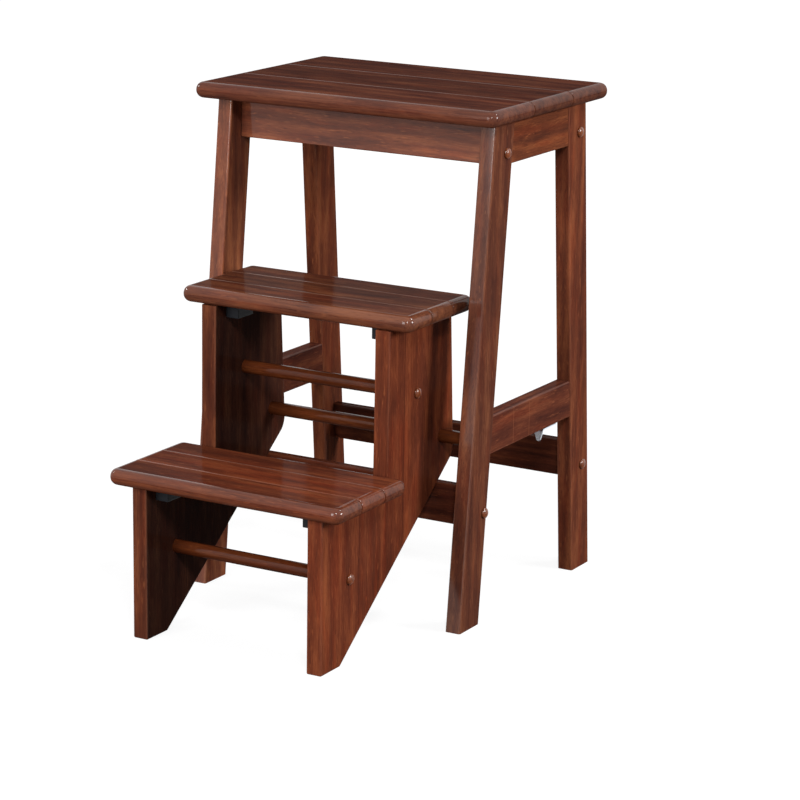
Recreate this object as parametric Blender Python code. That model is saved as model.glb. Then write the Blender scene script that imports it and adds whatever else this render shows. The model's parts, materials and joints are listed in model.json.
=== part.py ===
"""Folding step stool: a wooden stool with two lower steps that swing up under its seat.

Metres, +Z up. The steps face -Y, and the stool is symmetric about X = 0 apart from
one steel catch. The origin is on the floor, under the middle of the stool's box.
"""
import math

import bmesh
import bpy
from mathutils import Matrix, Vector

# Overall sizes, with the steps standing on the floor
STOOL_HEIGHT = 0.6096
STOOL_DEPTH = 0.5588
SEAT_WIDTH = 0.4064

# Clearances
FIT_GAP = 0.0003          # between any two pieces that meet
TURNING_GAP = 0.0005      # beside the shoulders of the pivot dowel
CUT_OVERRUN = 0.0040      # how far a drill starts outside the wood

# Frame
SEAT_DEPTH = 0.2920
SEAT_THICK = 0.0190
SEAT_REAR_OVERHANG = 0.0323
SEAT_SIDE_OVERHANG = 0.0157   # beyond the outer faces of the legs
LEG_THICK = 0.0195
LEG_WIDTH = 0.0465
LEG_TOP_SPAN = 0.2280     # front of the front legs to back of the rear legs, at the seat
FRONT_LEG_SPLAY = 0.0607
REAR_LEG_SPLAY = 0.0486
LEG_ARRIS = 0.0020        # radius of the eased edges
APRON_HEIGHT = 0.0500
APRON_THICK = 0.0150
FRONT_APRON_SETBACK = 0.0200
REAR_APRON_SETBACK = 0.0080
SIDE_RAIL_BOTTOM = 0.2025
SIDE_RAIL_HEIGHT = 0.0460
SIDE_INSET = 0.0010       # side aprons and rails, in from the outer faces of the legs
LOWER_RAIL_BOTTOM = 0.1170
LOWER_RAIL_HEIGHT = 0.0470
LOWER_RAIL_THICK = 0.0125
FRONT_RAIL_INSET = 0.0010     # its back, in from the back of the front legs
REAR_RAIL_SETBACK = 0.0220    # its face, in from the front of the rear legs
RAIL_ARRIS = 0.0025

# Tenons of the side aprons and side rails
TENON_THICK = 0.0080
TENON_LENGTH = 0.0180
TENON_SHOULDER = 0.0060   # above the tenon
APRON_TENON_HEIGHT = 0.0220
RAIL_TENON_HEIGHT = 0.0140

# Step unit
PANEL_THICK = 0.0195
PANEL_FRONT_INSET = 0.0105
PANEL_ARRIS = 0.0018
FOOT_LENGTH = 0.0415
TREAD_SIDE_GAP = 0.0130   # between a tread's end and the leg beside it
TREAD_SIDE_OVERHANG = 0.0280  # beyond the outer face of a panel
UPPER_TREAD_TO_BACK = 0.2568  # its back edge to the back of the rear feet
TREAD_THICK = 0.0195
LOWER_TREAD_TOP = 0.2010
UPPER_TREAD_TOP = 0.3875
RISER_GAP = 0.0020        # lower tread's back edge to the panels' upright front
UPPER_TREAD_NOSE = 0.0030
UPPER_TREAD_TAIL = 0.0047
PANEL_BACK_MARGIN = 0.0294    # wood behind the pivot's axis
KINK_RADIUS = 0.0220
RAIL_REST_GAP = 0.0005    # between the panels' slanting backs and the front lower rail

# Pivot and dowels
DOWEL_RADIUS = 0.0080
PIVOT_HEIGHT = 0.2195
PIVOT_FROM_LEG_BACK = 0.0133
PIVOT_END_RADIUS = 0.0050
PIVOT_END_LENGTH = 0.0130
LOWER_DOWEL_BACK = 0.0600     # from the front edge of the panels
LOWER_DOWEL_HEIGHT = 0.0990
UPPER_DOWEL_BACK = 0.0640     # from the upright front of the panels' upper part
UPPER_DOWEL_HEIGHT = 0.2835
DOWEL_SOCKET = 0.0070

# Boards of the seat and treads
BOARD_SPLIT_SHARES = (1 / 3, 2 / 3)     # joints between boards, as shares of a slab's depth
GROOVE_HALF_WIDTH = 0.0013
SLAB_CORNER_RADIUS = 0.0110
NOSE_SHARE = 0.47         # radius of the rounded edge, as a share of the thickness

# Bolts and screws
BOLT_RADIUS = 0.0030
BOLT_REACH = 0.0220       # of a leg bolt in an apron or lower rail
CAP_RADIUS = 0.0064
CAP_HEIGHT = 0.0042
APRON_BOLT_DROP = 0.0360
LOWER_BOLT_RISE = 0.0180
DOWEL_SCREW_RADIUS = 0.0025
DOWEL_SCREW_REACH = 0.0200
SCREW_RADIUS = 0.0018
SCREW_HEAD_RADIUS = 0.0036
SCREW_HEAD_HEIGHT = 0.0018
SCREW_REACH = 0.0110      # of a small screw in the wood that it holds
SEAT_SCREW_INSET = 0.0580     # from the inner faces of the legs
SEAT_SCREW_LENGTH = 0.0450
COUNTERBORE_RADIUS = 0.0042

# Corner blocks under the treads
BLOCK_SIDE = 0.0170
BLOCK_LENGTH_SHARE = 0.2112   # of a tread's depth, as the next three
BLOCK_ARRIS = 0.0010
LOWER_BLOCK_SHARE = 0.1881    # from the tread's front edge to its front blocks
UPPER_BLOCK_SHARE = 0.1650
REAR_BLOCK_SHARE = 0.0792     # from the tread's back edge to its rear blocks
PEG_RADIUS = 0.0030
PEG_LENGTH = 0.0080
PEG_EDGE_SHARE = 0.2188       # of a block's length, from its end to the axis of its peg

# Steel catch under the right side rail
CATCH_WIDTH = 0.0115
CATCH_THICK = 0.0018
CATCH_LENGTH = 0.0360
CATCH_FROM_REAR_LEG = 0.0710  # from the tongue to the front of the rear leg
CATCH_DROP = 0.0155           # from the rail down to the tip of the tongue
CATCH_TIP_WIDTH = 0.0060
CATCH_BEND_RADIUS = 0.0035
CATCH_EDGE = 0.0010           # in from the rail's outer face
CATCH_SCREW_FROM_END = 0.0100

# Facets of round shapes
DOWEL_FACETS = 24
SCREW_FACETS = 12
DOME_FACETS = 3
NOSE_FACETS = 4
CORNER_FACETS = 6
KINK_FACETS = 6
BEND_FACETS = 4
ARRIS_FACETS = 2
SHARP_ANGLE = math.radians(25)    # bends under this belong to a curve
WELD_SHARE = 0.1          # points of a turned shape nearer than this share of a fit gap are one
ROUND_PROFILE = 0.5       # a bevel that is part of a circle

QUARTER_TURN = math.pi / 2
SIDES = ((-1, "left"), (1, "right"))
FRONT_Y = -STOOL_DEPTH / 2
BACK_Y = STOOL_DEPTH / 2
SEAT_BOTTOM = STOOL_HEIGHT - SEAT_THICK
FRAME_TOP = SEAT_BOTTOM - FIT_GAP
LEG_OUTER = SEAT_WIDTH / 2 - SEAT_SIDE_OVERHANG
LEG_INNER = LEG_OUTER - LEG_THICK
SIDE_OUTER = LEG_OUTER - SIDE_INSET
SIDE_MIDDLE = (LEG_INNER + SIDE_OUTER) / 2
LEG_TOP_BACK = BACK_Y - REAR_LEG_SPLAY
LEG_TOP_FRONT = LEG_TOP_BACK - LEG_TOP_SPAN
FRONT_FOOT_FRONT = LEG_TOP_FRONT - FRONT_LEG_SPLAY
SEAT_BACK_Y = LEG_TOP_BACK + SEAT_REAR_OVERHANG
SEAT_FRONT_Y = SEAT_BACK_Y - SEAT_DEPTH
APRON_BOTTOM = SEAT_BOTTOM - APRON_HEIGHT
FRONT_APRON_Y = LEG_TOP_FRONT + FRONT_APRON_SETBACK
REAR_APRON_Y = LEG_TOP_BACK - REAR_APRON_SETBACK - APRON_THICK
SIDE_RAIL_TOP = SIDE_RAIL_BOTTOM + SIDE_RAIL_HEIGHT
LOWER_RAIL_TOP = LOWER_RAIL_BOTTOM + LOWER_RAIL_HEIGHT
FRONT_RAIL_SETBACK = LEG_WIDTH - LOWER_RAIL_THICK - FRONT_RAIL_INSET

TREAD_WIDTH = 2 * (LEG_INNER - TREAD_SIDE_GAP)
TREAD_DEPTH = (STOOL_DEPTH - UPPER_TREAD_TO_BACK - RISER_GAP + UPPER_TREAD_NOSE) / 2
BLOCK_LENGTH = BLOCK_LENGTH_SHARE * TREAD_DEPTH
PANEL_OUTER = TREAD_WIDTH / 2 - TREAD_SIDE_OVERHANG
PANEL_INNER = PANEL_OUTER - PANEL_THICK
PANEL_FRONT = FRONT_Y + PANEL_FRONT_INSET
LOWER_TREAD_BACK = FRONT_Y + TREAD_DEPTH
RISER_FRONT = LOWER_TREAD_BACK + RISER_GAP
UPPER_TREAD_FRONT = RISER_FRONT - UPPER_TREAD_NOSE
UPPER_TREAD_BACK = UPPER_TREAD_FRONT + TREAD_DEPTH
LOWER_PANEL_TOP = LOWER_TREAD_TOP - TREAD_THICK - FIT_GAP
UPPER_PANEL_TOP = UPPER_TREAD_TOP - TREAD_THICK - FIT_GAP


def front_leg_front(z):
    """Y of the front face of the front legs at a height; the foot is forward."""
    return FRONT_FOOT_FRONT + (LEG_TOP_FRONT - FRONT_FOOT_FRONT) * z / SEAT_BOTTOM


def front_leg_back(z):
    return front_leg_front(z) + LEG_WIDTH


def rear_leg_back(z):
    """Y of the back face of the rear legs at a height; the foot is back."""
    return BACK_Y + (LEG_TOP_BACK - BACK_Y) * z / SEAT_BOTTOM


def rear_leg_front(z):
    return rear_leg_back(z) - LEG_WIDTH


PIVOT_Y = front_leg_back(PIVOT_HEIGHT) - PIVOT_FROM_LEG_BACK
LOWER_DOWEL = (PANEL_FRONT + LOWER_DOWEL_BACK, LOWER_DOWEL_HEIGHT)
UPPER_DOWEL = (RISER_FRONT + UPPER_DOWEL_BACK, UPPER_DOWEL_HEIGHT)


def clear_scene():
    for item in list(bpy.data.objects):
        bpy.data.objects.remove(item)


def make_material(name, colour, roughness, metallic=0.0):
    material = bpy.data.materials.new(name)
    material.use_nodes = True
    shader = material.node_tree.nodes["Principled BSDF"]
    shader.inputs["Base Color"].default_value = (*colour, 1.0)
    shader.inputs["Roughness"].default_value = roughness
    shader.inputs["Metallic"].default_value = metallic
    return material


def finish_mesh(mesh):
    mesh.shade_smooth()
    mesh.set_sharp_from_angle(angle=SHARP_ANGLE)


def make_object(name, shape, material, parent=None):
    """Turn a bmesh, built in world coordinates, into a named object."""
    mesh = bpy.data.meshes.new(name)
    shape.to_mesh(mesh)
    shape.free()
    mesh.materials.append(material)
    finish_mesh(mesh)
    piece = bpy.data.objects.new(name, mesh)
    bpy.context.collection.objects.link(piece)
    if parent:
        piece.parent = parent
        piece.matrix_parent_inverse = Matrix.Translation(-parent.location)
    return piece


def joined(shapes):
    """One bmesh that holds several."""
    whole = bmesh.new()
    for shape in shapes:
        mesh = bpy.data.meshes.new("joined")
        shape.to_mesh(mesh)
        shape.free()
        whole.from_mesh(mesh)
        bpy.data.meshes.remove(mesh)
    return whole


def combine(target, shapes, operation):
    """Cut the shapes out of an object's mesh, or add them to it, with a Boolean."""
    tool_mesh = bpy.data.meshes.new("tool")
    tool_shape = joined(shapes)
    tool_shape.to_mesh(tool_mesh)
    tool_shape.free()
    tool = bpy.data.objects.new("tool", tool_mesh)
    tool.hide_render = True
    tool.display_type = "WIRE"
    bpy.context.collection.objects.link(tool)
    step = target.modifiers.new("combine", "BOOLEAN")
    step.operation = operation
    step.solver = "EXACT"
    step.object = tool
    graph = bpy.context.evaluated_depsgraph_get()
    result = bpy.data.meshes.new_from_object(target.evaluated_get(graph))
    target.modifiers.clear()
    old = target.data
    target.data = result
    bpy.data.meshes.remove(old)
    result.name = target.name
    finish_mesh(result)
    bpy.data.objects.remove(tool)
    bpy.data.meshes.remove(tool_mesh)


def cut(target, shapes):
    combine(target, shapes, "DIFFERENCE")


def skin(loops):
    """Close a row of equal loops of points into a solid with flat ends."""
    shape = bmesh.new()
    rings = [[shape.verts.new(point) for point in loop] for loop in loops]
    for lower, upper in zip(rings, rings[1:]):
        for index in range(len(lower)):
            following = (index + 1) % len(lower)
            shape.faces.new((lower[index], lower[following], upper[following], upper[index]))
    shape.faces.new(rings[0][::-1])
    shape.faces.new(rings[-1])
    bmesh.ops.recalc_face_normals(shape, faces=shape.faces)
    return shape


def ease_edges(shape, width):
    """Round the outward edges that are sharper than a curve's facets."""
    edges = [e for e in shape.edges if e.is_convex and e.calc_face_angle(0.0) > SHARP_ANGLE]
    bmesh.ops.bevel(shape, geom=edges, offset=width, offset_type="OFFSET",
                    profile=ROUND_PROFILE, segments=ARRIS_FACETS, affect="EDGES", clamp_overlap=True)


def side_prism(outline, x_ends, arris=0.0):
    """A solid with a (y, z) outline, running along X, with eased edges."""
    shape = skin([[(x, y, z) for y, z in outline] for x in sorted(x_ends)])
    if arris:
        ease_edges(shape, arris)
    return shape


def rectangle(y_low, y_high, z_low, z_high):
    return [(y_low, z_low), (y_high, z_low), (y_high, z_high), (y_low, z_high)]


def turned(base, direction, profile, facets):
    """A closed turned solid; profile is (radius, distance along direction), pole to pole."""
    shape = bmesh.new()
    verts = [shape.verts.new((radius, 0.0, height)) for radius, height in profile]
    edges = [shape.edges.new(pair) for pair in zip(verts, verts[1:])]
    bmesh.ops.spin(shape, geom=verts + edges, cent=(0.0, 0.0, 0.0), axis=(0.0, 0.0, 1.0),
                   angle=math.tau, steps=facets, use_merge=True)
    bmesh.ops.remove_doubles(shape, verts=shape.verts, dist=WELD_SHARE * FIT_GAP)
    turn = Vector((0.0, 0.0, 1.0)).rotation_difference(Vector(direction)).to_matrix().to_4x4()
    bmesh.ops.transform(shape, matrix=Matrix.Translation(base) @ turn, verts=shape.verts)
    bmesh.ops.recalc_face_normals(shape, faces=shape.faces)
    return shape


def rod(start, end, radius, facets=SCREW_FACETS):
    """A round bar between two points, with flat ends."""
    start, end = Vector(start), Vector(end)
    turn = Vector((0.0, 0.0, 1.0)).rotation_difference(end - start)
    angles = [step * math.tau / facets for step in range(facets)]
    ring = [turn @ Vector((radius * math.cos(angle), radius * math.sin(angle), 0.0)) for angle in angles]
    return skin([[centre + point for point in ring] for centre in (start, end)])


def cross_rod(x_ends, place, radius, facets=SCREW_FACETS):
    """A rod along X at a (y, z) place."""
    return rod((x_ends[0], *place), (x_ends[1], *place), radius, facets)


def headed(base, direction, head, shank_radius, reach):
    """A domed head, as (radius, height), standing on a face, with its shank going in."""
    radius, height = head
    angles = [step * QUARTER_TURN / DOME_FACETS for step in range(DOME_FACETS)]
    dome = [(radius * math.cos(angle), height * math.sin(angle)) for angle in angles]
    shank = [(0.0, -reach), (shank_radius, -reach), (shank_radius, 0.0)]
    return turned(base, direction, shank + dome + [(0.0, height)], SCREW_FACETS)


def nose_profile(thick):
    """The rounded edge as (distance in from the outermost line, height), bottom to top."""
    radius = NOSE_SHARE * thick
    points = []
    for centre, first in ((radius, -QUARTER_TURN), (thick - radius, 0.0)):
        for step in range(NOSE_FACETS + 1):
            angle = first + step * QUARTER_TURN / NOSE_FACETS
            points.append((radius - radius * math.cos(angle), centre + radius * math.sin(angle)))
    return points


def rounded_loop(half_width, y_low, y_high, inset, z):
    """Points round a rectangle with rounded corners, drawn in by inset."""
    radius = SLAB_CORNER_RADIUS
    low, high = y_low + radius, y_high - radius
    corners = ((1, high), (-1, high), (-1, low), (1, low))
    points = []
    for quarter, (side, centre_y) in enumerate(corners):
        for step in range(CORNER_FACETS + 1):
            angle = (quarter + step / CORNER_FACETS) * QUARTER_TURN
            points.append((side * (half_width - radius) + (radius - inset) * math.cos(angle),
                           centre_y + (radius - inset) * math.sin(angle), z))
    return points


def slab(width, y_ends, z_top, thick):
    """A whole seat or tread, before it is parted into boards."""
    return skin([rounded_loop(width / 2, *y_ends, inset, z_top - thick + height)
                 for inset, height in nose_profile(thick)])


def saw(shape, y, z_bottom, keep_rear):
    """Saw a slab at y, close the cut, and chamfer its edge for the groove but not below."""
    bmesh.ops.bisect_plane(shape, geom=shape.verts[:] + shape.edges[:] + shape.faces[:],
                           plane_co=(0.0, y, 0.0), plane_no=(0.0, 1.0, 0.0),
                           clear_inner=keep_rear, clear_outer=not keep_rear)
    rim = [edge for edge in shape.edges if edge.is_boundary]
    bmesh.ops.contextual_create(shape, geom=rim)
    bmesh.ops.recalc_face_normals(shape, faces=shape.faces)
    groove = [edge for edge in rim if max(vert.co.z for vert in edge.verts) > z_bottom + FIT_GAP]
    bmesh.ops.bevel(shape, geom=groove, offset=GROOVE_HALF_WIDTH, offset_type="OFFSET",
                    profile=ROUND_PROFILE, segments=1, affect="EDGES", clamp_overlap=True)


def board_splits(y_low, y_high):
    """Y of the joints between the boards of a seat or tread."""
    return [y_low + share * (y_high - y_low) for share in BOARD_SPLIT_SHARES]


def make_boards(label, width, y_ends, z_top, thick, wood, parent=None):
    """Part a slab into three boards, front to back."""
    first, last = board_splits(*y_ends)
    cuts = {"front": [(first, False)], "middle": [(first, True), (last, False)], "rear": [(last, True)]}
    boards = {}
    for place, own_cuts in cuts.items():
        shape = slab(width, y_ends, z_top, thick)
        for split, keep_rear in own_cuts:
            offset = FIT_GAP / 2 if keep_rear else -FIT_GAP / 2
            saw(shape, split + offset, z_top - thick, keep_rear)
        boards[place] = make_object(f"{label}_board_{place}", shape, wood, parent)
    return boards


def leg_bolts():
    """(y, z) of each leg bolt, by leg and by level."""
    upper_z = SEAT_BOTTOM - APRON_BOLT_DROP
    lower_z = LOWER_RAIL_BOTTOM + LOWER_BOLT_RISE
    front_y = front_leg_front(lower_z) + FRONT_RAIL_SETBACK + LOWER_RAIL_THICK / 2
    rear_y = rear_leg_front(lower_z) + REAR_RAIL_SETBACK + LOWER_RAIL_THICK / 2
    return {("front", "upper"): (FRONT_APRON_Y + APRON_THICK / 2, upper_z),
            ("front", "lower"): (front_y, lower_z),
            ("rear", "upper"): (REAR_APRON_Y + APRON_THICK / 2, upper_z),
            ("rear", "lower"): (rear_y, lower_z)}


def bolt_hole(side, place):
    inner = LEG_INNER - BOLT_REACH - FIT_GAP
    return cross_rod((side * inner, side * (LEG_OUTER + CUT_OVERRUN)), place, BOLT_RADIUS + FIT_GAP)


def tenon_outline(z_low, z_high, clearance):
    """Both tenons of a side rail in one outline that runs on through the rail."""
    bottom, top = z_low - clearance, z_high + clearance
    reach = TENON_LENGTH + clearance
    return [(front_leg_back(bottom) - reach, bottom), (rear_leg_front(bottom) + reach, bottom),
            (rear_leg_front(top) + reach, top), (front_leg_back(top) - reach, top)]


def tenon_levels():
    """Lowest and highest Z of the side aprons' tenons and of the side rails'."""
    levels = []
    for rail_top, height in ((FRAME_TOP, APRON_TENON_HEIGHT), (SIDE_RAIL_TOP, RAIL_TENON_HEIGHT)):
        top = rail_top - TENON_SHOULDER
        levels.append((top - height, top))
    return levels


def tenon(side, level, clearance=0.0):
    half = TENON_THICK / 2 + clearance
    middle = side * SIDE_MIDDLE
    return side_prism(tenon_outline(*level, clearance), (middle - half, middle + half))


def pivot_bore(side):
    ends = (side * (LEG_INNER - CUT_OVERRUN), side * (LEG_INNER + PIVOT_END_LENGTH + FIT_GAP))
    return cross_rod(ends, (PIVOT_Y, PIVOT_HEIGHT), PIVOT_END_RADIUS + FIT_GAP, DOWEL_FACETS)


def make_leg(name, side, front, back, holes, wood):
    """A leg between its front and back lines, with its mortises and the given holes."""
    outline = [(front(0.0), 0.0), (back(0.0), 0.0), (back(FRAME_TOP), FRAME_TOP),
               (front(FRAME_TOP), FRAME_TOP)]
    leg = make_object(name, side_prism(outline, (side * LEG_INNER, side * LEG_OUTER), LEG_ARRIS), wood)
    cut(leg, holes + [tenon(side, level, FIT_GAP) for level in tenon_levels()])


def make_legs(wood):
    bolts = leg_bolts()
    for side, label in SIDES:
        front_holes = [bolt_hole(side, bolts["front", level]) for level in ("upper", "lower")]
        rear_holes = [bolt_hole(side, bolts["rear", level]) for level in ("upper", "lower")]
        make_leg(f"front_leg_{label}", side, front_leg_front, front_leg_back,
                 front_holes + [pivot_bore(side)], wood)
        make_leg(f"rear_leg_{label}", side, rear_leg_front, rear_leg_back, rear_holes, wood)


def leaning_outline(face, setback):
    """Outline of a lower rail that leans with the legs whose front line is given."""
    low, high = face(LOWER_RAIL_BOTTOM) + setback, face(LOWER_RAIL_TOP) + setback
    return [(low, LOWER_RAIL_BOTTOM), (low + LOWER_RAIL_THICK, LOWER_RAIL_BOTTOM),
            (high + LOWER_RAIL_THICK, LOWER_RAIL_TOP), (high, LOWER_RAIL_TOP)]


def seat_screws():
    """Base of each seat screw's head, inside the bottom edge of an apron."""
    z = SEAT_BOTTOM + SCREW_REACH - SEAT_SCREW_LENGTH
    places = {}
    for end, apron_y in (("front", FRONT_APRON_Y), ("rear", REAR_APRON_Y)):
        for side, label in SIDES:
            places[end, label] = Vector((side * (LEG_INNER - SEAT_SCREW_INSET), apron_y + APRON_THICK / 2, z))
    return places


def counterbore(base):
    floor = (base.x, base.y, APRON_BOTTOM - CUT_OVERRUN)
    return rod(floor, (base.x, base.y, base.z + FIT_GAP), COUNTERBORE_RADIUS)


def seat_screw_hole(base):
    start = (base.x, base.y, base.z - CUT_OVERRUN)
    return rod(start, (base.x, base.y, base.z + SEAT_SCREW_LENGTH + FIT_GAP), SCREW_RADIUS + FIT_GAP)


def make_aprons(wood):
    """Front and rear apron, bolted between the legs and drilled for the seat's screws."""
    half = LEG_INNER - FIT_GAP
    for end, y in (("front", FRONT_APRON_Y), ("rear", REAR_APRON_Y)):
        outline = rectangle(y, y + APRON_THICK, APRON_BOTTOM, FRAME_TOP)
        apron = make_object(f"{end}_apron", side_prism(outline, (-half, half), RAIL_ARRIS), wood)
        bases = [base for (screw_end, label), base in seat_screws().items() if screw_end == end]
        cut(apron, [bolt_hole(side, leg_bolts()[end, "upper"]) for side, label in SIDES])
        cut(apron, [counterbore(base) for base in bases])
        cut(apron, [seat_screw_hole(base) for base in bases])


def make_lower_rails(wood):
    """Front and rear lower rail, bolted between the legs."""
    half = LEG_INNER - FIT_GAP
    outlines = {"front": leaning_outline(front_leg_front, FRONT_RAIL_SETBACK),
                "rear": leaning_outline(rear_leg_front, REAR_RAIL_SETBACK)}
    for end, outline in outlines.items():
        rail = make_object(f"{end}_lower_rail", side_prism(outline, (-half, half), RAIL_ARRIS), wood)
        cut(rail, [bolt_hole(side, leg_bolts()[end, "lower"]) for side, label in SIDES])


def make_side_rails(wood):
    """Side aprons and side rails, tenoned into the front and rear leg of each side."""
    spans = {"side_apron": (APRON_BOTTOM, FRAME_TOP), "side_rail": (SIDE_RAIL_BOTTOM, SIDE_RAIL_TOP)}
    rails = {}
    for side, label in SIDES:
        for (kind, (low, high)), level in zip(spans.items(), tenon_levels()):
            outline = [(front_leg_back(low) + FIT_GAP, low), (rear_leg_front(low) - FIT_GAP, low),
                       (rear_leg_front(high) - FIT_GAP, high), (front_leg_back(high) + FIT_GAP, high)]
            body = side_prism(outline, (side * LEG_INNER, side * SIDE_OUTER), RAIL_ARRIS)
            rails[kind, label] = make_object(f"{kind}_{label}", body, wood)
            combine(rails[kind, label], [tenon(side, level)], "UNION")
    return rails


def make_leg_bolts(brown):
    for (end, level), place in leg_bolts().items():
        for side, label in SIDES:
            bolt = headed((side * (LEG_OUTER + FIT_GAP), *place), (side, 0.0, 0.0),
                          (CAP_RADIUS, CAP_HEIGHT), BOLT_RADIUS, LEG_THICK + BOLT_REACH)
            make_object(f"leg_bolt_{level}_{end}_{label}", bolt, brown)


def make_seat(wood, steel):
    boards = make_boards("seat", SEAT_WIDTH, (SEAT_FRONT_Y, SEAT_BACK_Y), STOOL_HEIGHT, SEAT_THICK, wood)
    for (end, label), base in seat_screws().items():
        cut(boards[end], [seat_screw_hole(base)])
        screw = headed(base, (0.0, 0.0, -1.0), (SCREW_HEAD_RADIUS, SCREW_HEAD_HEIGHT), SCREW_RADIUS,
                       SEAT_SCREW_LENGTH)
        make_object(f"seat_screw_{end}_{label}", screw, steel)


def catch_path(front, back, top):
    """Upper and lower side of the catch, and half its width, from its back end to its tip."""
    bend, inner = CATCH_BEND_RADIUS, CATCH_BEND_RADIUS - CATCH_THICK
    tip_half = CATCH_TIP_WIDTH / 2
    path = [((back, top), (back, top - CATCH_THICK), CATCH_WIDTH / 2)]
    for step in range(BEND_FACETS + 1):
        angle = step * QUARTER_TURN / BEND_FACETS
        along, down = math.sin(angle), math.cos(angle)
        path.append(((front + bend - bend * along, top - bend + bend * down),
                     (front + bend - inner * along, top - bend + inner * down), CATCH_WIDTH / 2))
    for step in range(BEND_FACETS):
        angle = step * QUARTER_TURN / BEND_FACETS
        z = top - CATCH_DROP + tip_half * (1.0 - math.sin(angle))
        path.append(((front, z), (front + CATCH_THICK, z), tip_half * math.cos(angle)))
    return path


def make_catch(side_rail, steel):
    """The steel catch under a side rail, its front end bent down to a rounded tongue."""
    top = SIDE_RAIL_BOTTOM - FIT_GAP
    front = rear_leg_front(SIDE_RAIL_BOTTOM) - CATCH_FROM_REAR_LEG
    back = front + CATCH_LENGTH
    middle = SIDE_OUTER - CATCH_EDGE - CATCH_WIDTH / 2
    loops = [[(middle - half, *upper), (middle + half, *upper), (middle + half, *lower),
              (middle - half, *lower)] for upper, lower, half in catch_path(front, back, top)]
    catch = make_object("catch", skin(loops), steel)
    base = Vector((middle, back - CATCH_SCREW_FROM_END, top - CATCH_THICK - FIT_GAP))
    reach = CATCH_THICK + SCREW_REACH
    screw = headed(base, (0.0, 0.0, -1.0), (SCREW_HEAD_RADIUS, SCREW_HEAD_HEIGHT), SCREW_RADIUS, reach)
    make_object("catch_screw", screw, steel)
    start = (base.x, base.y, base.z - CUT_OVERRUN)
    end = (base.x, base.y, base.z + reach + FIT_GAP)
    for piece in (catch, side_rail):
        cut(piece, [rod(start, end, SCREW_RADIUS + FIT_GAP)])


def panel_outline():
    """The stair-shaped outline of a step panel, from its front foot round to its front edge."""
    foot = Vector((PANEL_FRONT + FOOT_LENGTH, 0.0))
    rail_corner = Vector((front_leg_front(LOWER_RAIL_TOP) + FRONT_RAIL_SETBACK, LOWER_RAIL_TOP))
    reach = rail_corner - foot
    slope = math.atan2(reach.y, reach.x) + math.asin(RAIL_REST_GAP / reach.length)
    along = Vector((math.cos(slope), math.sin(slope)))
    top_back = Vector((UPPER_TREAD_BACK - UPPER_TREAD_TAIL, UPPER_PANEL_TOP))
    pivot_back = Vector((PIVOT_Y + PANEL_BACK_MARGIN, PIVOT_HEIGHT))
    up = (top_back - pivot_back).normalized()
    kink = foot + along * ((top_back - foot).cross(up) / along.cross(up))
    setback = KINK_RADIUS * math.tan(along.angle(up) / 2)
    centre = kink - along * setback + Vector((-along.y, along.x)) * KINK_RADIUS
    first = math.atan2(-along.x, along.y)
    turn = along.angle(up) / KINK_FACETS
    arc = [(centre.x + KINK_RADIUS * math.cos(first + step * turn),
            centre.y + KINK_RADIUS * math.sin(first + step * turn)) for step in range(KINK_FACETS + 1)]
    return [(PANEL_FRONT, 0.0), tuple(foot), *arc, tuple(top_back), (RISER_FRONT, UPPER_PANEL_TOP),
            (RISER_FRONT, LOWER_PANEL_TOP), (PANEL_FRONT, LOWER_PANEL_TOP)]


def dowel_screw_hole(side, place):
    inner = PANEL_INNER - DOWEL_SCREW_REACH - FIT_GAP
    ends = (side * inner, side * (PANEL_OUTER + CUT_OVERRUN))
    return cross_rod(ends, place, DOWEL_SCREW_RADIUS + FIT_GAP)


def make_panels(wood, hinge):
    """The two panels, bored for the pivot and for the sockets and screws of the dowels."""
    panels = {}
    bore = DOWEL_RADIUS + FIT_GAP
    for side, label in SIDES:
        body = side_prism(panel_outline(), (side * PANEL_INNER, side * PANEL_OUTER), PANEL_ARRIS)
        panel = make_object(f"step_panel_{label}", body, wood, hinge)
        inside = side * (PANEL_INNER - CUT_OVERRUN)
        outside = side * (PANEL_OUTER + CUT_OVERRUN)
        socket = side * (PANEL_INNER + DOWEL_SOCKET)
        dowels = (LOWER_DOWEL, UPPER_DOWEL)
        cut(panel, [cross_rod((inside, outside), (PIVOT_Y, PIVOT_HEIGHT), bore, DOWEL_FACETS)]
            + [cross_rod((inside, socket), place, bore, DOWEL_FACETS) for place in dowels])
        cut(panel, [dowel_screw_hole(side, place) for place in dowels])
        panels[label] = panel
    return panels


def make_dowels(wood, brown, hinge):
    """The lower and upper dowel between the panels, and the capped screws in their ends."""
    half = PANEL_INNER + DOWEL_SOCKET - FIT_GAP
    for level, place in (("lower", LOWER_DOWEL), ("upper", UPPER_DOWEL)):
        dowel = make_object(f"{level}_dowel", cross_rod((-half, half), place, DOWEL_RADIUS, DOWEL_FACETS),
                            wood, hinge)
        cut(dowel, [dowel_screw_hole(side, place) for side, label in SIDES])
        for side, label in SIDES:
            screw = headed((side * (PANEL_OUTER + FIT_GAP), *place), (side, 0.0, 0.0),
                           (CAP_RADIUS, CAP_HEIGHT), DOWEL_SCREW_RADIUS, PANEL_THICK + DOWEL_SCREW_REACH)
            make_object(f"dowel_screw_{level}_{label}", screw, brown, hinge)


def make_pivot_dowel(wood, hinge):
    """The dowel on which the steps turn, stepped down where it enters the legs."""
    shoulder = LEG_INNER - TURNING_GAP
    end = LEG_INNER + PIVOT_END_LENGTH
    half = [(DOWEL_RADIUS, shoulder), (PIVOT_END_RADIUS, shoulder), (PIVOT_END_RADIUS, end), (0.0, end)]
    mirrored = [(radius, -distance) for radius, distance in reversed(half)]
    shape = turned((0.0, PIVOT_Y, PIVOT_HEIGHT), (1.0, 0.0, 0.0), mirrored + half, DOWEL_FACETS)
    make_object("pivot_dowel", shape, wood, hinge)


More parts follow.
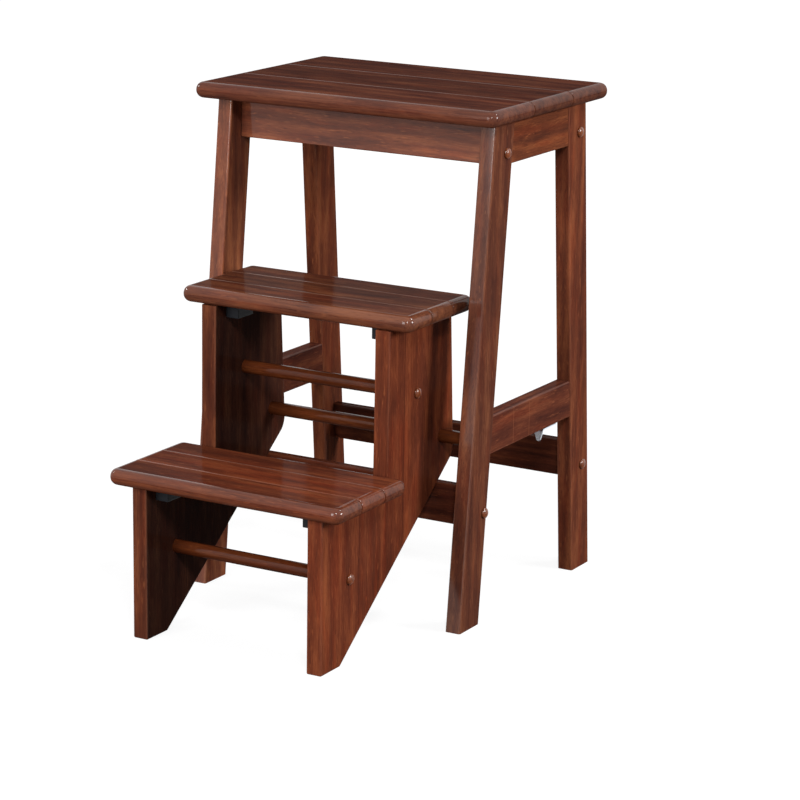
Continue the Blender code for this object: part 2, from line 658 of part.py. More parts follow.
def peg(side, place, clearance=0.0):
    """One moulded peg of a corner block, or its hole in the panel."""
    root = PANEL_INNER - FIT_GAP - PEG_RADIUS
    tip = PANEL_INNER + PEG_LENGTH + clearance
    return cross_rod((side * root, side * tip), place, PEG_RADIUS + clearance)


def make_block(name, side, y_low, tread_bottom, panel, board, plastic, steel, hinge):
    """A moulded block, pegged into the panel and screwed up into a board of the tread."""
    y_high = y_low + BLOCK_LENGTH
    peg_edge = PEG_EDGE_SHARE * BLOCK_LENGTH
    z_high = tread_bottom - FIT_GAP
    z_low = z_high - BLOCK_SIDE
    outer = PANEL_INNER - FIT_GAP
    body = side_prism(rectangle(y_low, y_high, z_low, z_high),
                      (side * outer, side * (outer - BLOCK_SIDE)), BLOCK_ARRIS)
    block = make_object(f"tread_block_{name}", body, plastic, hinge)
    peg_places = [(y, z_low + BLOCK_SIDE / 2) for y in (y_low + peg_edge, y_high - peg_edge)]
    combine(block, [peg(side, place) for place in peg_places], "UNION")
    cut(panel, [peg(side, place, FIT_GAP) for place in peg_places])
    base = Vector((side * (outer - BLOCK_SIDE / 2), (y_low + y_high) / 2, z_low - FIT_GAP))
    reach = BLOCK_SIDE + SCREW_REACH
    start = (base.x, base.y, base.z - CUT_OVERRUN)
    end = (base.x, base.y, base.z + reach + FIT_GAP)
    for piece in (block, board):
        cut(piece, [rod(start, end, SCREW_RADIUS + FIT_GAP)])
    screw = headed(base, (0.0, 0.0, -1.0), (SCREW_HEAD_RADIUS, SCREW_HEAD_HEIGHT), SCREW_RADIUS, reach)
    make_object(f"block_screw_{name}", screw, steel, hinge)


def make_tread(level, y_low, z_top, front_block_share, panels, materials, hinge):
    """One tread: its boards, and the four blocks that hold them to the panels."""
    wood, plastic, steel = materials
    y_high = y_low + TREAD_DEPTH
    boards = make_boards(f"{level}_tread", TREAD_WIDTH, (y_low, y_high), z_top, TREAD_THICK, wood, hinge)
    starts = {"front": y_low + front_block_share * TREAD_DEPTH,
              "rear": y_high - REAR_BLOCK_SHARE * TREAD_DEPTH - BLOCK_LENGTH}
    for end, start in starts.items():
        for side, label in SIDES:
            make_block(f"{level}_{end}_{label}", side, start, z_top - TREAD_THICK, panels[label],
                       boards[end], plastic, steel, hinge)


def build_frame(wood, steel, brown):
    make_legs(wood)
    make_aprons(wood)
    make_lower_rails(wood)
    rails = make_side_rails(wood)
    make_leg_bolts(brown)
    make_seat(wood, steel)
    make_catch(rails["side_rail", "right"], steel)


def build_step_unit(wood, dowel_wood, plastic, steel, brown):
    """Everything that swings, under an empty on the pivot's axis."""
    hinge = bpy.data.objects.new("step_unit_hinge", None)
    hinge.location = (0.0, PIVOT_Y, PIVOT_HEIGHT)
    bpy.context.collection.objects.link(hinge)
    panels = make_panels(wood, hinge)
    make_dowels(dowel_wood, brown, hinge)
    make_pivot_dowel(dowel_wood, hinge)
    materials = (wood, plastic, steel)
    make_tread("lower", FRONT_Y, LOWER_TREAD_TOP, LOWER_BLOCK_SHARE, panels, materials, hinge)
    make_tread("upper", UPPER_TREAD_FRONT, UPPER_TREAD_TOP, UPPER_BLOCK_SHARE, panels, materials, hinge)


def main():
    clear_scene()
    wood = make_material("stained_wood", (0.105, 0.034, 0.022), 0.32)
    dowel_wood = make_material("dowel_wood", (0.160, 0.060, 0.025), 0.35)
    plastic = make_material("dark_plastic", (0.030, 0.036, 0.045), 0.55)
    steel = make_material("zinc_steel", (0.560, 0.580, 0.610), 0.35, 1.0)
    brown = make_material("brown_cap", (0.200, 0.075, 0.040), 0.25)
    build_frame(wood, steel, brown)
    build_step_unit(wood, dowel_wood, plastic, steel, brown)


main()
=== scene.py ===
# %% [markdown]
# # A folding step stool in stained wood
#
# The stool has a boarded seat on four splayed legs, and a unit of two steps that swings
# on a round dowel between the front legs. This script dresses the imported model: it keeps
# every size and place, and gives each piece the rounded edges, grain and lacquer that the
# finished furniture has. The first step loads the model.

# %% Load the frame
import json
import math

import bmesh
import bpy
from mathutils import Matrix, Vector


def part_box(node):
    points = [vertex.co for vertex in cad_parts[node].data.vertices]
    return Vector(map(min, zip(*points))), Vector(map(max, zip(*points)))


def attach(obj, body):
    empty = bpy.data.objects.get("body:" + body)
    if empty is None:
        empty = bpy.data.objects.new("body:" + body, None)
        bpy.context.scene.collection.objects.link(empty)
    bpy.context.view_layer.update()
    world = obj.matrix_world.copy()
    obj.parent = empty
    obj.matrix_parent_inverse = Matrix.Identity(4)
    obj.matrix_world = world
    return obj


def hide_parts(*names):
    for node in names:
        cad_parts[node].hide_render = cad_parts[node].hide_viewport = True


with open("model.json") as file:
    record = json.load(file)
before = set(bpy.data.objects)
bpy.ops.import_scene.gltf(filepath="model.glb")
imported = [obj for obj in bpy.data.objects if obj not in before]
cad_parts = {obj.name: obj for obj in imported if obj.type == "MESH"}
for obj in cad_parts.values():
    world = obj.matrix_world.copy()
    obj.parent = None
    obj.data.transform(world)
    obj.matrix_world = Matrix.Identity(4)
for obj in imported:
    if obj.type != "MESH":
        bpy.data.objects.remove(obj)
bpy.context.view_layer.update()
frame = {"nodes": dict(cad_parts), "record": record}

# %% [markdown]
# ## The camera
#
# The stool is seen from the front and a little to its right, from above seat height, with
# a long lens from about three and a half metres. A long lens keeps the legs nearly parallel,
# which a short one would not. The camera is set up by its two angles and its roll, the way a
# photographer would level a tripod, and a small shift frames the stool.

# %% Set up the camera
CAMERA_PLACE = Vector((1.7272, -2.9025, 1.1145))
CAMERA_YAW = math.radians(29.307)
CAMERA_PITCH = math.radians(-15.694)
CAMERA_ROLL = math.radians(1.027)
SENSOR_WIDTH = 36.0              # millimetres
IMAGE_SIDE = 800                 # pixels, as the next two are
FOCAL_PIXELS = 2926.26
CENTRE_PIXEL = (419.9, 464.3)    # where the lens points, from the picture's top left corner


def add_camera():
    level_reach = math.cos(CAMERA_PITCH)
    forward = Vector((-math.sin(CAMERA_YAW) * level_reach, math.cos(CAMERA_YAW) * level_reach,
                      math.sin(CAMERA_PITCH)))
    level = Vector((math.cos(CAMERA_YAW), math.sin(CAMERA_YAW), 0.0))
    right = Matrix.Rotation(-CAMERA_ROLL, 3, forward) @ level
    up = right.cross(forward)
    turn = Matrix((right, up, -forward)).transposed().to_4x4()
    data = bpy.data.cameras.new("camera")
    data.sensor_width = SENSOR_WIDTH
    data.lens = FOCAL_PIXELS * SENSOR_WIDTH / IMAGE_SIDE
    data.shift_x = 0.5 - CENTRE_PIXEL[0] / IMAGE_SIDE
    data.shift_y = CENTRE_PIXEL[1] / IMAGE_SIDE - 0.5
    camera = bpy.data.objects.new("camera", data)
    camera.matrix_world = Matrix.Translation(CAMERA_PLACE) @ turn
    bpy.context.scene.collection.objects.link(camera)
    bpy.context.scene.camera = camera
    return camera


camera = add_camera()
print("lens", round(camera.data.lens, 1), "mm")
print("shift", round(camera.data.shift_x, 3), round(camera.data.shift_y, 3))

# %% [markdown]
# ## Helpers for node trees
#
# The floor, the room and every finish are node trees, and most of their nodes are of a few
# kinds: a sum, a range that is mapped to another, a mix of two colours. A helper for each
# kind takes plain numbers, colours or other nodes' outputs alike, so that a material reads
# like a recipe.

# %% Make and join nodes
MIX_INPUTS = (0, 6, 7)       # a colour mix's share, first colour and second colour
MIX_RESULT = 2


def add_node(tree, kind, **settings):
    node = tree.nodes.new(kind)
    for key, value in settings.items():
        setattr(node, key, value)
    return node


def feed(tree, socket, value):
    """Give a socket a number, a colour or another node's output."""
    if isinstance(value, (int, float)):
        socket.default_value = value
    elif isinstance(value, tuple):
        socket.default_value = (*value, 1.0)
    else:
        tree.links.new(value, socket)


def math_node(tree, operation, *values, clamp=False):
    node = add_node(tree, "ShaderNodeMath", operation=operation, use_clamp=clamp)
    for socket, value in zip(node.inputs, values):
        feed(tree, socket, value)
    return node.outputs[0]


def range_node(tree, value, span, to_span=(0.0, 1.0), **settings):
    """Map a span of values to another, and hold what lies beyond its ends."""
    node = add_node(tree, "ShaderNodeMapRange", clamp=True, **settings)
    for socket, number in zip(node.inputs, (value, *span, *to_span)):
        feed(tree, socket, number)
    return node.outputs[0]


def colour_mix(tree, share, first, second, blend_type="MIX"):
    node = add_node(tree, "ShaderNodeMix", data_type="RGBA", blend_type=blend_type)
    for index, value in zip(MIX_INPUTS, (share, first, second)):
        feed(tree, node.inputs[index], value)
    return node.outputs[MIX_RESULT]


def split_node(tree, vector):
    """The X, Y and Z of a vector, as three outputs."""
    node = add_node(tree, "ShaderNodeSeparateXYZ")
    tree.links.new(vector, node.inputs[0])
    return node.outputs


print("node helpers ready")

# %% [markdown]
# ## The studio
#
# Furniture for a catalogue stands on white. The floor looks white because its material
# glows a little for the camera, for reflections and through clear bodies, and not because
# more light falls on it, so the wood keeps its own colours. Under the glow the floor is an
# ordinary matt surface, and that part carries the soft shadow. The lamps fall off with
# distance, so the glow rises away from the stool to keep the far floor as white as the near.

# %% Build the floor
FLOOR_SIDE = 60.0
FLOOR_COLOUR = (0.20, 0.20, 0.20)
GLOW = (0.875, 1.0)              # near the stool and far from it
GLOW_RADII = (0.5, 3.0)


def seen_directly(tree):
    """One where a ray comes from the camera, a reflection or a clear body, and zero elsewhere."""
    path = add_node(tree, "ShaderNodeLightPath").outputs
    seen = math_node(tree, "MAXIMUM", path["Is Camera Ray"], path["Is Glossy Ray"])
    return math_node(tree, "MAXIMUM", seen, path["Is Transmission Ray"])


def floor_material():
    material = bpy.data.materials.new("studio_floor")
    material.use_nodes = True
    tree = material.node_tree
    tree.nodes.clear()
    matt = add_node(tree, "ShaderNodeBsdfDiffuse")
    matt.inputs["Color"].default_value = (*FLOOR_COLOUR, 1.0)
    source = add_node(tree, "ShaderNodeTexCoord")
    distance = add_node(tree, "ShaderNodeVectorMath", operation="LENGTH")
    tree.links.new(source.outputs["Object"], distance.inputs[0])
    rise = range_node(tree, distance.outputs["Value"], GLOW_RADII, GLOW)
    glow = add_node(tree, "ShaderNodeEmission")
    tree.links.new(math_node(tree, "MULTIPLY", rise, seen_directly(tree)), glow.inputs["Strength"])
    both = add_node(tree, "ShaderNodeAddShader")
    tree.links.new(matt.outputs[0], both.inputs[0])
    tree.links.new(glow.outputs[0], both.inputs[1])
    output = add_node(tree, "ShaderNodeOutputMaterial")
    tree.links.new(both.outputs[0], output.inputs["Surface"])
    return material


def add_floor():
    shape = bmesh.new()
    bmesh.ops.create_grid(shape, x_segments=1, y_segments=1, size=FLOOR_SIDE / 2)
    mesh = bpy.data.meshes.new("floor")
    shape.to_mesh(mesh)
    shape.free()
    mesh.materials.append(floor_material())
    floor = bpy.data.objects.new("floor", mesh)
    bpy.context.scene.collection.objects.link(floor)


add_floor()
print("floor", FLOOR_SIDE, "m wide; glow from", GLOW[0], "to", GLOW[1])

# %% [markdown]
# The world is the room around the stool. It lights the wood as a pale wall low down and a dim
# ceiling higher up. Where it is seen, straight on or in a reflection, it is a white backdrop
# that goes on where the floor ends, so a view from eye level stays white as well.

# %% Set the world
HORIZON_COLOUR = (0.86, 0.86, 0.87)
ROOM_COLOUR = (0.16, 0.16, 0.17)
BACKDROP_COLOUR = (1.0, 1.0, 1.0)
HAZE_TOP = 0.12          # sine of the angle at which the room is dim


def set_world():
    world = bpy.data.worlds.new("studio")
    world.use_nodes = True
    tree = world.node_tree
    tree.nodes.clear()
    source = add_node(tree, "ShaderNodeTexCoord")
    height = split_node(tree, source.outputs["Generated"])["Z"]
    rise = range_node(tree, height, (0.0, HAZE_TOP), interpolation_type="SMOOTHSTEP")
    room = add_node(tree, "ShaderNodeBackground")
    tree.links.new(colour_mix(tree, rise, HORIZON_COLOUR, ROOM_COLOUR), room.inputs["Color"])
    backdrop = add_node(tree, "ShaderNodeBackground")
    backdrop.inputs["Color"].default_value = (*BACKDROP_COLOUR, 1.0)
    seen = add_node(tree, "ShaderNodeMixShader")
    parts = (seen_directly(tree), room.outputs[0], backdrop.outputs[0])
    for socket, part in zip(seen.inputs, parts):
        tree.links.new(part, socket)
    output = add_node(tree, "ShaderNodeOutputWorld")
    tree.links.new(seen.outputs[0], output.inputs["Surface"])
    bpy.context.scene.world = world


set_world()
bpy.context.scene.view_settings.view_transform = "Standard"
print("world set; the room is dim above", round(math.degrees(math.asin(HAZE_TOP)), 1), "degrees")

# %% [markdown]
# Six soft boxes light the wood. The front one is large and low and stands ahead, a little
# to the left, for the faces that look forward. The side one stands to the right, for the
# outer faces. The corner, rim and left boxes are small and leave bright dots on each rounded
# corner. The back box is large and dim and stands behind on the left, and the lacquer mirrors
# it in thin pale lines along the rounded fronts and the grooves.

# %% Hang the soft boxes
AIM = Vector((0.0, 0.0, 0.3))
SOFT_BOXES = {
    "front_box": {"turn": -100.0, "rise": 18.0, "distance": 3.6, "side": 1.80, "watts": 102.0},
    "corner_box": {"turn": -54.0, "rise": 34.0, "distance": 3.2, "side": 0.42, "watts": 38.0},
    "side_box": {"turn": 12.0, "rise": 20.0, "distance": 3.4, "side": 0.95, "watts": 82.0},
    "rim_box": {"turn": 44.0, "rise": 50.0, "distance": 3.2, "side": 0.34, "watts": 22.0},
    "back_box": {"turn": 138.0, "rise": 30.0, "distance": 3.4, "side": 1.80, "watts": 6.0},
    "left_box": {"turn": 190.0, "rise": 30.0, "distance": 3.2, "side": 0.30, "watts": 16.0},
}


def add_soft_box(name, turn, rise, distance, side, watts):
    """Hang a square lamp that looks at the stool; its turn counts from X towards Y, in degrees."""
    data = bpy.data.lights.new(name, "AREA")
    data.shape = "SQUARE"
    data.size = side
    data.energy = watts
    lamp = bpy.data.objects.new(name, data)
    turn, rise = math.radians(turn), math.radians(rise)
    away = Vector((math.cos(turn) * math.cos(rise), math.sin(turn) * math.cos(rise),
                   math.sin(rise)))
    lamp.location = AIM + distance * away
    lamp.rotation_euler = (-away).to_track_quat("-Z", "Y").to_euler()
    bpy.context.scene.collection.objects.link(lamp)


for name, settings in SOFT_BOXES.items():
    add_soft_box(name, **settings)
print("soft boxes:", ", ".join(SOFT_BOXES))

# %% [markdown]
# ## Stained wood
#
# Every wooden piece wears a deep red-brown stain under satin lacquer. Seen close, the stain
# lies unevenly: broad soft bands where the wood is harder, fine lines a millimetre or two
# wide, small orange flecks where it took less colour, and short dark pores. All of them
# come from noise that is stretched along the grain, so each piece first turns its object
# coordinates until the grain runs along Z. `GRAIN_TURNS` holds the turn for each axis. Every
# piece has its own material, because no two boards of a real stool come from the same place
# in the tree: `SEED_STEP` moves the pattern to another part of the noise. A slow noise then
# pushes the lines a few millimetres sideways, because real grain wanders. The stretch factors
# say how slowly each noise changes along the grain, against one across it.

# %% Grain coordinates
GRAIN_TURNS = {"x": (0.0, -math.pi / 2, 0.0), "y": (math.pi / 2, 0.0, 0.0), "z": (0.0, 0.0, 0.0)}
SEED_STEP = Vector((0.731, 0.417, 1.293))
WANDER_STRETCH = (1.0, 1.0, 0.25)
BAND_STRETCH = (1.0, 1.0, 0.055)
LINE_STRETCH = (1.0, 1.0, 0.045)
FINE_STRETCH = (1.0, 1.0, 0.090)
FLECK_STRETCH = (1.0, 1.0, 0.14)
WANDER = {"scale": 15.0, "detail": 2.0}
WANDER_REACH = Vector((0.016, 0.011, 0.0))


def noise_node(tree, vector, scale, detail, roughness=0.5, distortion=0.0):
    node = add_node(tree, "ShaderNodeTexNoise")
    settings = {"Scale": scale, "Detail": detail, "Roughness": roughness, "Distortion": distortion}
    for key, value in settings.items():
        node.inputs[key].default_value = value
    tree.links.new(vector, node.inputs["Vector"])
    return node.outputs[0]


def stretched(tree, vector, scale):
    node = add_node(tree, "ShaderNodeMapping")
    node.inputs["Scale"].default_value = scale
    tree.links.new(vector, node.inputs["Vector"])
    return node.outputs[0]


def grain_coordinates(tree, source, grain, seed):
    """Object coordinates, turned until the grain runs along Z, moved by the seed and bent."""
    turn = add_node(tree, "ShaderNodeMapping")
    turn.inputs["Rotation"].default_value = GRAIN_TURNS[grain]
    turn.inputs["Location"].default_value = SEED_STEP * (seed + 1)
    tree.links.new(source.outputs["Object"], turn.inputs["Vector"])
    wander = noise_node(tree, stretched(tree, turn.outputs[0], WANDER_STRETCH), **WANDER)
    push = add_node(tree, "ShaderNodeVectorMath", operation="MULTIPLY_ADD")
    push.inputs[0].default_value = WANDER_REACH
    tree.links.new(wander, push.inputs[1])
    tree.links.new(turn.outputs[0], push.inputs[2])
    return push.outputs[0]


print("grain turns for", ", ".join(GRAIN_TURNS))

# %% [markdown]
# Four noises and the year rings say how light the stain lies at each place. The rings are a
# wave in circles round an axis that lies outside the board, as the heart of the tree does, so
# they close into arches on a wide face. A colour ramp turns the sum into the stain's colours.

# %% Layers of grain
LAYERS = {"bands": (BAND_STRETCH, {"scale": 62.0, "detail": 2.0}),
          "lines": (LINE_STRETCH, {"scale": 330.0, "detail": 3.0, "roughness": 0.6}),
          "fine": (FINE_STRETCH, {"scale": 900.0, "detail": 2.0, "roughness": 0.6}),
          "mottle": (WANDER_STRETCH, {"scale": 38.0, "detail": 3.0, "roughness": 0.55,
                                      "distortion": 0.4})}
LAYER_SHARES = {"bands": 0.45, "lines": 0.40, "fine": 0.36, "mottle": 0.92}
RINGS = {"Scale": 26.0, "Distortion": 4.5, "Detail": 2.0, "Detail Scale": 0.8}
HEART_OFFSET = Vector((0.060, 0.095, 0.0))
STAIN = ((0.040, 0.0122, 0.0095), (0.122, 0.0310, 0.0160), (0.260, 0.0740, 0.0310))
STAIN_STOPS = (0.08, 0.50, 0.92)     # where the dark, middle and light stain lie on the ramp
DARK, MIDDLE, LIGHT = range(3)


def ring_layer(tree, place):
    heart = add_node(tree, "ShaderNodeVectorMath", operation="ADD")
    heart.inputs[1].default_value = HEART_OFFSET
    tree.links.new(stretched(tree, place, FLECK_STRETCH), heart.inputs[0])
    rings = add_node(tree, "ShaderNodeTexWave", wave_type="RINGS", rings_direction="Z",
                     wave_profile="SIN")
    for key, value in RINGS.items():
        rings.inputs[key].default_value = value
    tree.links.new(heart.outputs[0], rings.inputs["Vector"])
    return rings.outputs["Fac"]


def wood_value(tree, place, layers, figure):
    """How light the stain lies, from 0 to 1; figure strengthens the rings."""
    value = math_node(tree, "MULTIPLY_ADD", ring_layer(tree, place), figure, 0.5 - figure / 2)
    for name, share in LAYER_SHARES.items():
        swing = math_node(tree, "SUBTRACT", layers[name], 0.5)
        value = math_node(tree, "MULTIPLY_ADD", swing, share, value)
    return value


def stain_ramp(tree, value, colours):
    ramp = add_node(tree, "ShaderNodeValToRGB")
    stops = ramp.color_ramp.elements
    stops[0].position, stops[0].color = STAIN_STOPS[DARK], (*colours[DARK], 1.0)
    stops[1].position, stops[1].color = STAIN_STOPS[LIGHT], (*colours[LIGHT], 1.0)
    middle = stops.new(STAIN_STOPS[MIDDLE])
    middle.color = (*colours[MIDDLE], 1.0)
    tree.links.new(value, ramp.inputs[0])
    return ramp.outputs[0]


print("layers of grain:", ", ".join(LAYERS), "and the rings")

# %% [markdown]
# Small marks come on top of the stain: light flecks, blushes where it is redder, and dark
# pores. The end grain drinks more stain, so faces that look along the grain are darker and
# blotchy. Edges that were rounded are a little lighter, partly where sanding leaves less stain
# and partly as a painted highlight along them. The meshes mark those faces with an attribute.

# %% Marks in the stain
FLECKS = {"scale": 430.0, "detail": 2.0}
FLECK_SPAN, FLECK_SHARE = (0.62, 0.74), 0.55
BLUSH = {"scale": 70.0, "detail": 3.0, "roughness": 0.6}
BLUSH_SPAN, BLUSH_SHARE = (0.48, 0.66), 0.6
BLUSH_TINT = (1.08, 0.80, 0.75)
PORES = {"scale": 1300.0, "detail": 1.0}
PORE_SPAN, PORE_SHARE = (0.60, 0.70), 0.45
END_BLOTCHES = {"scale": 150.0, "detail": 3.0, "roughness": 0.65}
END_BLOTCH_SPAN = (0.34, 0.74)
END_SPAN, END_SHARE = (0.30, 0.75), 0.45     # how far a face looks along the grain
# lighter rounded edges: partly sanding wear, partly painted highlight
EDGE_WEAR_AND_HIGHLIGHT_SPAN, EDGE_WEAR_AND_HIGHLIGHT_SHARES = (0.35, 0.65), (0.04, 0.30)
EASED = "eased"                              # the attribute on rounded edges


def marked(tree, name):
    return add_node(tree, "ShaderNodeAttribute", attribute_name=name).outputs["Fac"]


def tinted(tree, colour, tint):
    return colour_mix(tree, 1.0, colour, tint, "MULTIPLY")


def pore_mask(tree, place):
    pores = noise_node(tree, stretched(tree, place, BAND_STRETCH), **PORES)
    return range_node(tree, pores, PORE_SPAN)


def add_marks(tree, place, colour, pores, colours):
    flecks = noise_node(tree, stretched(tree, place, FLECK_STRETCH), **FLECKS)
    fleck_mask = math_node(tree, "MULTIPLY", range_node(tree, flecks, FLECK_SPAN), FLECK_SHARE)
    colour = colour_mix(tree, fleck_mask, colour, colours[LIGHT])
    blush = noise_node(tree, stretched(tree, place, FLECK_STRETCH), **BLUSH)
    blush_mask = range_node(tree, blush, BLUSH_SPAN, (0.0, BLUSH_SHARE))
    colour = colour_mix(tree, blush_mask, colour, tinted(tree, colour, BLUSH_TINT))
    return colour_mix(tree, math_node(tree, "MULTIPLY", pores, PORE_SHARE), colour, colours[DARK])


def looks_along(tree, source, grain):
    """How far a face looks along the grain, from 0 to 1."""
    facing = add_node(tree, "ShaderNodeVectorMath", operation="DOT_PRODUCT")
    facing.inputs[1].default_value = [float(letter == grain) for letter in "xyz"]
    tree.links.new(source.outputs["Normal"], facing.inputs[0])
    return math_node(tree, "ABSOLUTE", facing.outputs["Value"])


def darken_ends(tree, source, colour, end_share, colours):
    blotches = noise_node(tree, source.outputs["Object"], **END_BLOTCHES)
    blotch_mask = range_node(tree, blotches, END_BLOTCH_SPAN)
    return colour_mix(tree, end_share, colour,
                      colour_mix(tree, blotch_mask, colours[DARK], colours[LIGHT]))


def wear_and_highlight_edges(tree, colour, end_share, lines, colours):
    """Lighten the rounded edges unevenly, but not on end grain: partly wear, partly a painted
    highlight.
    """
    worn_and_lit_share = math_node(tree, "MULTIPLY", marked(tree, EASED),
                       math_node(tree, "SUBTRACT", 1.0, end_share))
    wear_and_highlight = math_node(tree, "MULTIPLY", worn_and_lit_share,
                       range_node(tree, lines, EDGE_WEAR_AND_HIGHLIGHT_SPAN, EDGE_WEAR_AND_HIGHLIGHT_SHARES))
    return colour_mix(tree, wear_and_highlight, colour, colours[LIGHT])


print("marks: flecks, blushes, pores, end grain and rubbed edges")

# %% [markdown]
# Thin lines cross the grain: dark ones where boards are glued, pale ones on a rail, and a
# groove's line, which is a painted highlight. The panels' inner faces get painted shade, because
# this studio's light reaches further between them than it does on the real stool.

# %% Lines, painted highlights and the inner faces' painted shade
LINE_AND_HIGHLIGHT_SHARE = 0.7
TOP_SPAN = (0.45, 0.70)          # how far a face that shows a groove's line looks up
# painted shade for the panels' inner faces
INNER_PAINTED_SHADE = (0.50, 0.60, 0.72)
INNER_SHADE_SPAN = (0.60, 0.95)        # how far a panel's inner face looks inward


def thin_lines(tree, source, axis, places, half_width):
    """One on thin lines across an axis at the given places, and zero elsewhere."""
    along = split_node(tree, source.outputs["Object"])[axis]
    total = None
    for place in places:
        away = math_node(tree, "ABSOLUTE", math_node(tree, "SUBTRACT", along, place))
        line = range_node(tree, away, (half_width / 2, half_width), (1.0, 0.0))
        total = line if total is None else math_node(tree, "MAXIMUM", total, line)
    return total


def draw_lines_and_highlights(tree, source, normal, colour, lines_and_highlights, on_top):
    # a groove's line drawn here is a painted highlight; the other lines are glued joints and pale
    # lines
    axis, places, half_width, line_colour = lines_and_highlights
    mask = thin_lines(tree, source, axis, places, half_width)
    if on_top:
        mask = math_node(tree, "MULTIPLY", mask, range_node(tree, normal["Z"], TOP_SPAN))
    return colour_mix(tree, math_node(tree, "MULTIPLY", mask, LINE_AND_HIGHLIGHT_SHARE), colour, line_colour)


def paint_inner_shade(tree, normal, colour, side):
    # paint shade on the panel face that looks inward
    inward = math_node(tree, "MULTIPLY", normal["X"], side)
    return colour_mix(tree, range_node(tree, inward, INNER_SHADE_SPAN), colour,
                      tinted(tree, colour, INNER_PAINTED_SHADE))


print("seams and inner faces ready")

# %% [markdown]
# The lacquer is the shader's coat. It gathers on rounded edges, so those are glossy, and the
# flat faces have only a faint sheen, as rubbed lacquer has. The legs' and the aprons' front
# faces have more, because they mirror the pale floor ahead. Faces that look down get almost
# no lacquer, because the white floor would show in it as grey. The grain's fine lines stand
# up a little under it, and the pores sink in.

# %% Lacquer over the grain
FLAT_COAT, EDGE_COAT = 0.05, 0.42
DOWNWARD_SPAN, DOWNWARD_COAT = (-0.15, 0.40), (0.08, 1.0)
FORWARD_SPAN = (-0.95, -0.60)
COAT_ROUGHNESS = 0.10
MOTTLE_SPAN, WOOD_ROUGHNESS = (0.3, 0.7), (0.34, 0.46)
LINE_HEIGHT, PORE_HEIGHT = 0.5, -0.7
END_HEIGHTS = (1.0, 0.2)         # the relief is weaker on end grain
BUMP_STRENGTH, BUMP_DEPTH = 0.35, 0.00018


def add_lacquer(tree, shader, normal, gloss, front_sheen):
    """Lay the coat; gloss is its weight on flat faces and on edges."""
    coat = range_node(tree, marked(tree, EASED), (0.0, 1.0), gloss)
    coat = math_node(tree, "MULTIPLY", coat,
                     range_node(tree, normal["Z"], DOWNWARD_SPAN, DOWNWARD_COAT))
    if front_sheen:
        forward = range_node(tree, normal["Y"], FORWARD_SPAN, (front_sheen, 0.0))
        coat = math_node(tree, "ADD", coat, forward, clamp=True)
    tree.links.new(coat, shader.inputs["Coat Weight"])
    shader.inputs["Coat Roughness"].default_value = COAT_ROUGHNESS
    shader.inputs["Specular IOR Level"].default_value = 0.0


def add_bump(tree, shader, height, strength, depth):
    bump = add_node(tree, "ShaderNodeBump")
    bump.inputs["Strength"].default_value = strength
    bump.inputs["Distance"].default_value = depth
    tree.links.new(height, bump.inputs["Height"])
    tree.links.new(bump.outputs[0], shader.inputs["Normal"])


def add_relief(tree, shader, lines, pores, along):
    height = math_node(tree, "MULTIPLY_ADD", pores, PORE_HEIGHT,
                       math_node(tree, "MULTIPLY", lines, LINE_HEIGHT))
    height = math_node(tree, "MULTIPLY", height, range_node(tree, along, END_SPAN, END_HEIGHTS))
    add_bump(tree, shader, height, BUMP_STRENGTH, BUMP_DEPTH)


print("coat", FLAT_COAT, "on flat faces and", EDGE_COAT, "on edges")

# %% [markdown]
# The material puts the layers, marks and lacquer together for one piece. Each call gives
# its own tone, matched to how light or dark its piece looked, so the tones hold painted light
# and shade as well as the pieces' own differences.

# %% The wood material
FIGURE = 0.16


def new_material(name):
    material = bpy.data.materials.new(name)
    material.use_nodes = True
    tree = material.node_tree
    return material, tree, tree.nodes["Principled BSDF"], add_node(tree, "ShaderNodeTexCoord")


def stained_wood(name, grain, seed, tone=1.0, colours=STAIN, figure=FIGURE, lines_and_highlights=None,
                 lines_on_top=False, gloss=(FLAT_COAT, EDGE_COAT), front_sheen=0.0, shaded_inner_side=0):
    """A lacquered wood of its own for one piece.

    tone brightens it, or tints it where three numbers are given; figure strengthens its rings;
    lines_and_highlights is (axis, places, half width, colour) of its thin lines, of which a
    groove's line is a painted highlight, and lines_on_top keeps them to faces that look up;
    gloss is the coat's weight on flat faces and on edges; front_sheen is added to it on faces
    that look forward; shaded_inner_side is 1 or -1 where the face that looks along X or against
    it is an inner one, which gets painted shade.
    """
    material, tree, shader, source = new_material(name)
    place = grain_coordinates(tree, source, grain, seed)
    normal = split_node(tree, source.outputs["Normal"])
    along = looks_along(tree, source, grain)
    end_share = range_node(tree, along, END_SPAN, (0.0, END_SHARE))
    layers = {layer: noise_node(tree, stretched(tree, place, stretch), **noise)
              for layer, (stretch, noise) in LAYERS.items()}
    pores = pore_mask(tree, place)
    colour = stain_ramp(tree, wood_value(tree, place, layers, figure), colours)
    colour = add_marks(tree, place, colour, pores, colours)
    colour = darken_ends(tree, source, colour, end_share, colours)
    colour = wear_and_highlight_edges(tree, colour, end_share, layers["lines"], colours)
    if lines_and_highlights:
        colour = draw_lines_and_highlights(tree, source, normal, colour, lines_and_highlights, lines_on_top)
    colour = tinted(tree, colour, tone if isinstance(tone, tuple) else (tone, tone, tone))
    if shaded_inner_side:
        colour = paint_inner_shade(tree, normal, colour, shaded_inner_side)
    tree.links.new(colour, shader.inputs["Base Color"])
    tree.links.new(range_node(tree, layers["mottle"], MOTTLE_SPAN, WOOD_ROUGHNESS),
                   shader.inputs["Roughness"])
    add_lacquer(tree, shader, normal, gloss, front_sheen)
    add_relief(tree, shader, layers["lines"], pores, along)
    return material


print("wood material ready")

# %% [markdown]
# ## Making a piece
#
# Every new piece ends the same way: its mesh becomes an object at the origin, smooth but
# for real corners, with normals weighted by face area so that flat faces stay flat beside
# rounded edges. It then rides on the body of the node that it stands for.

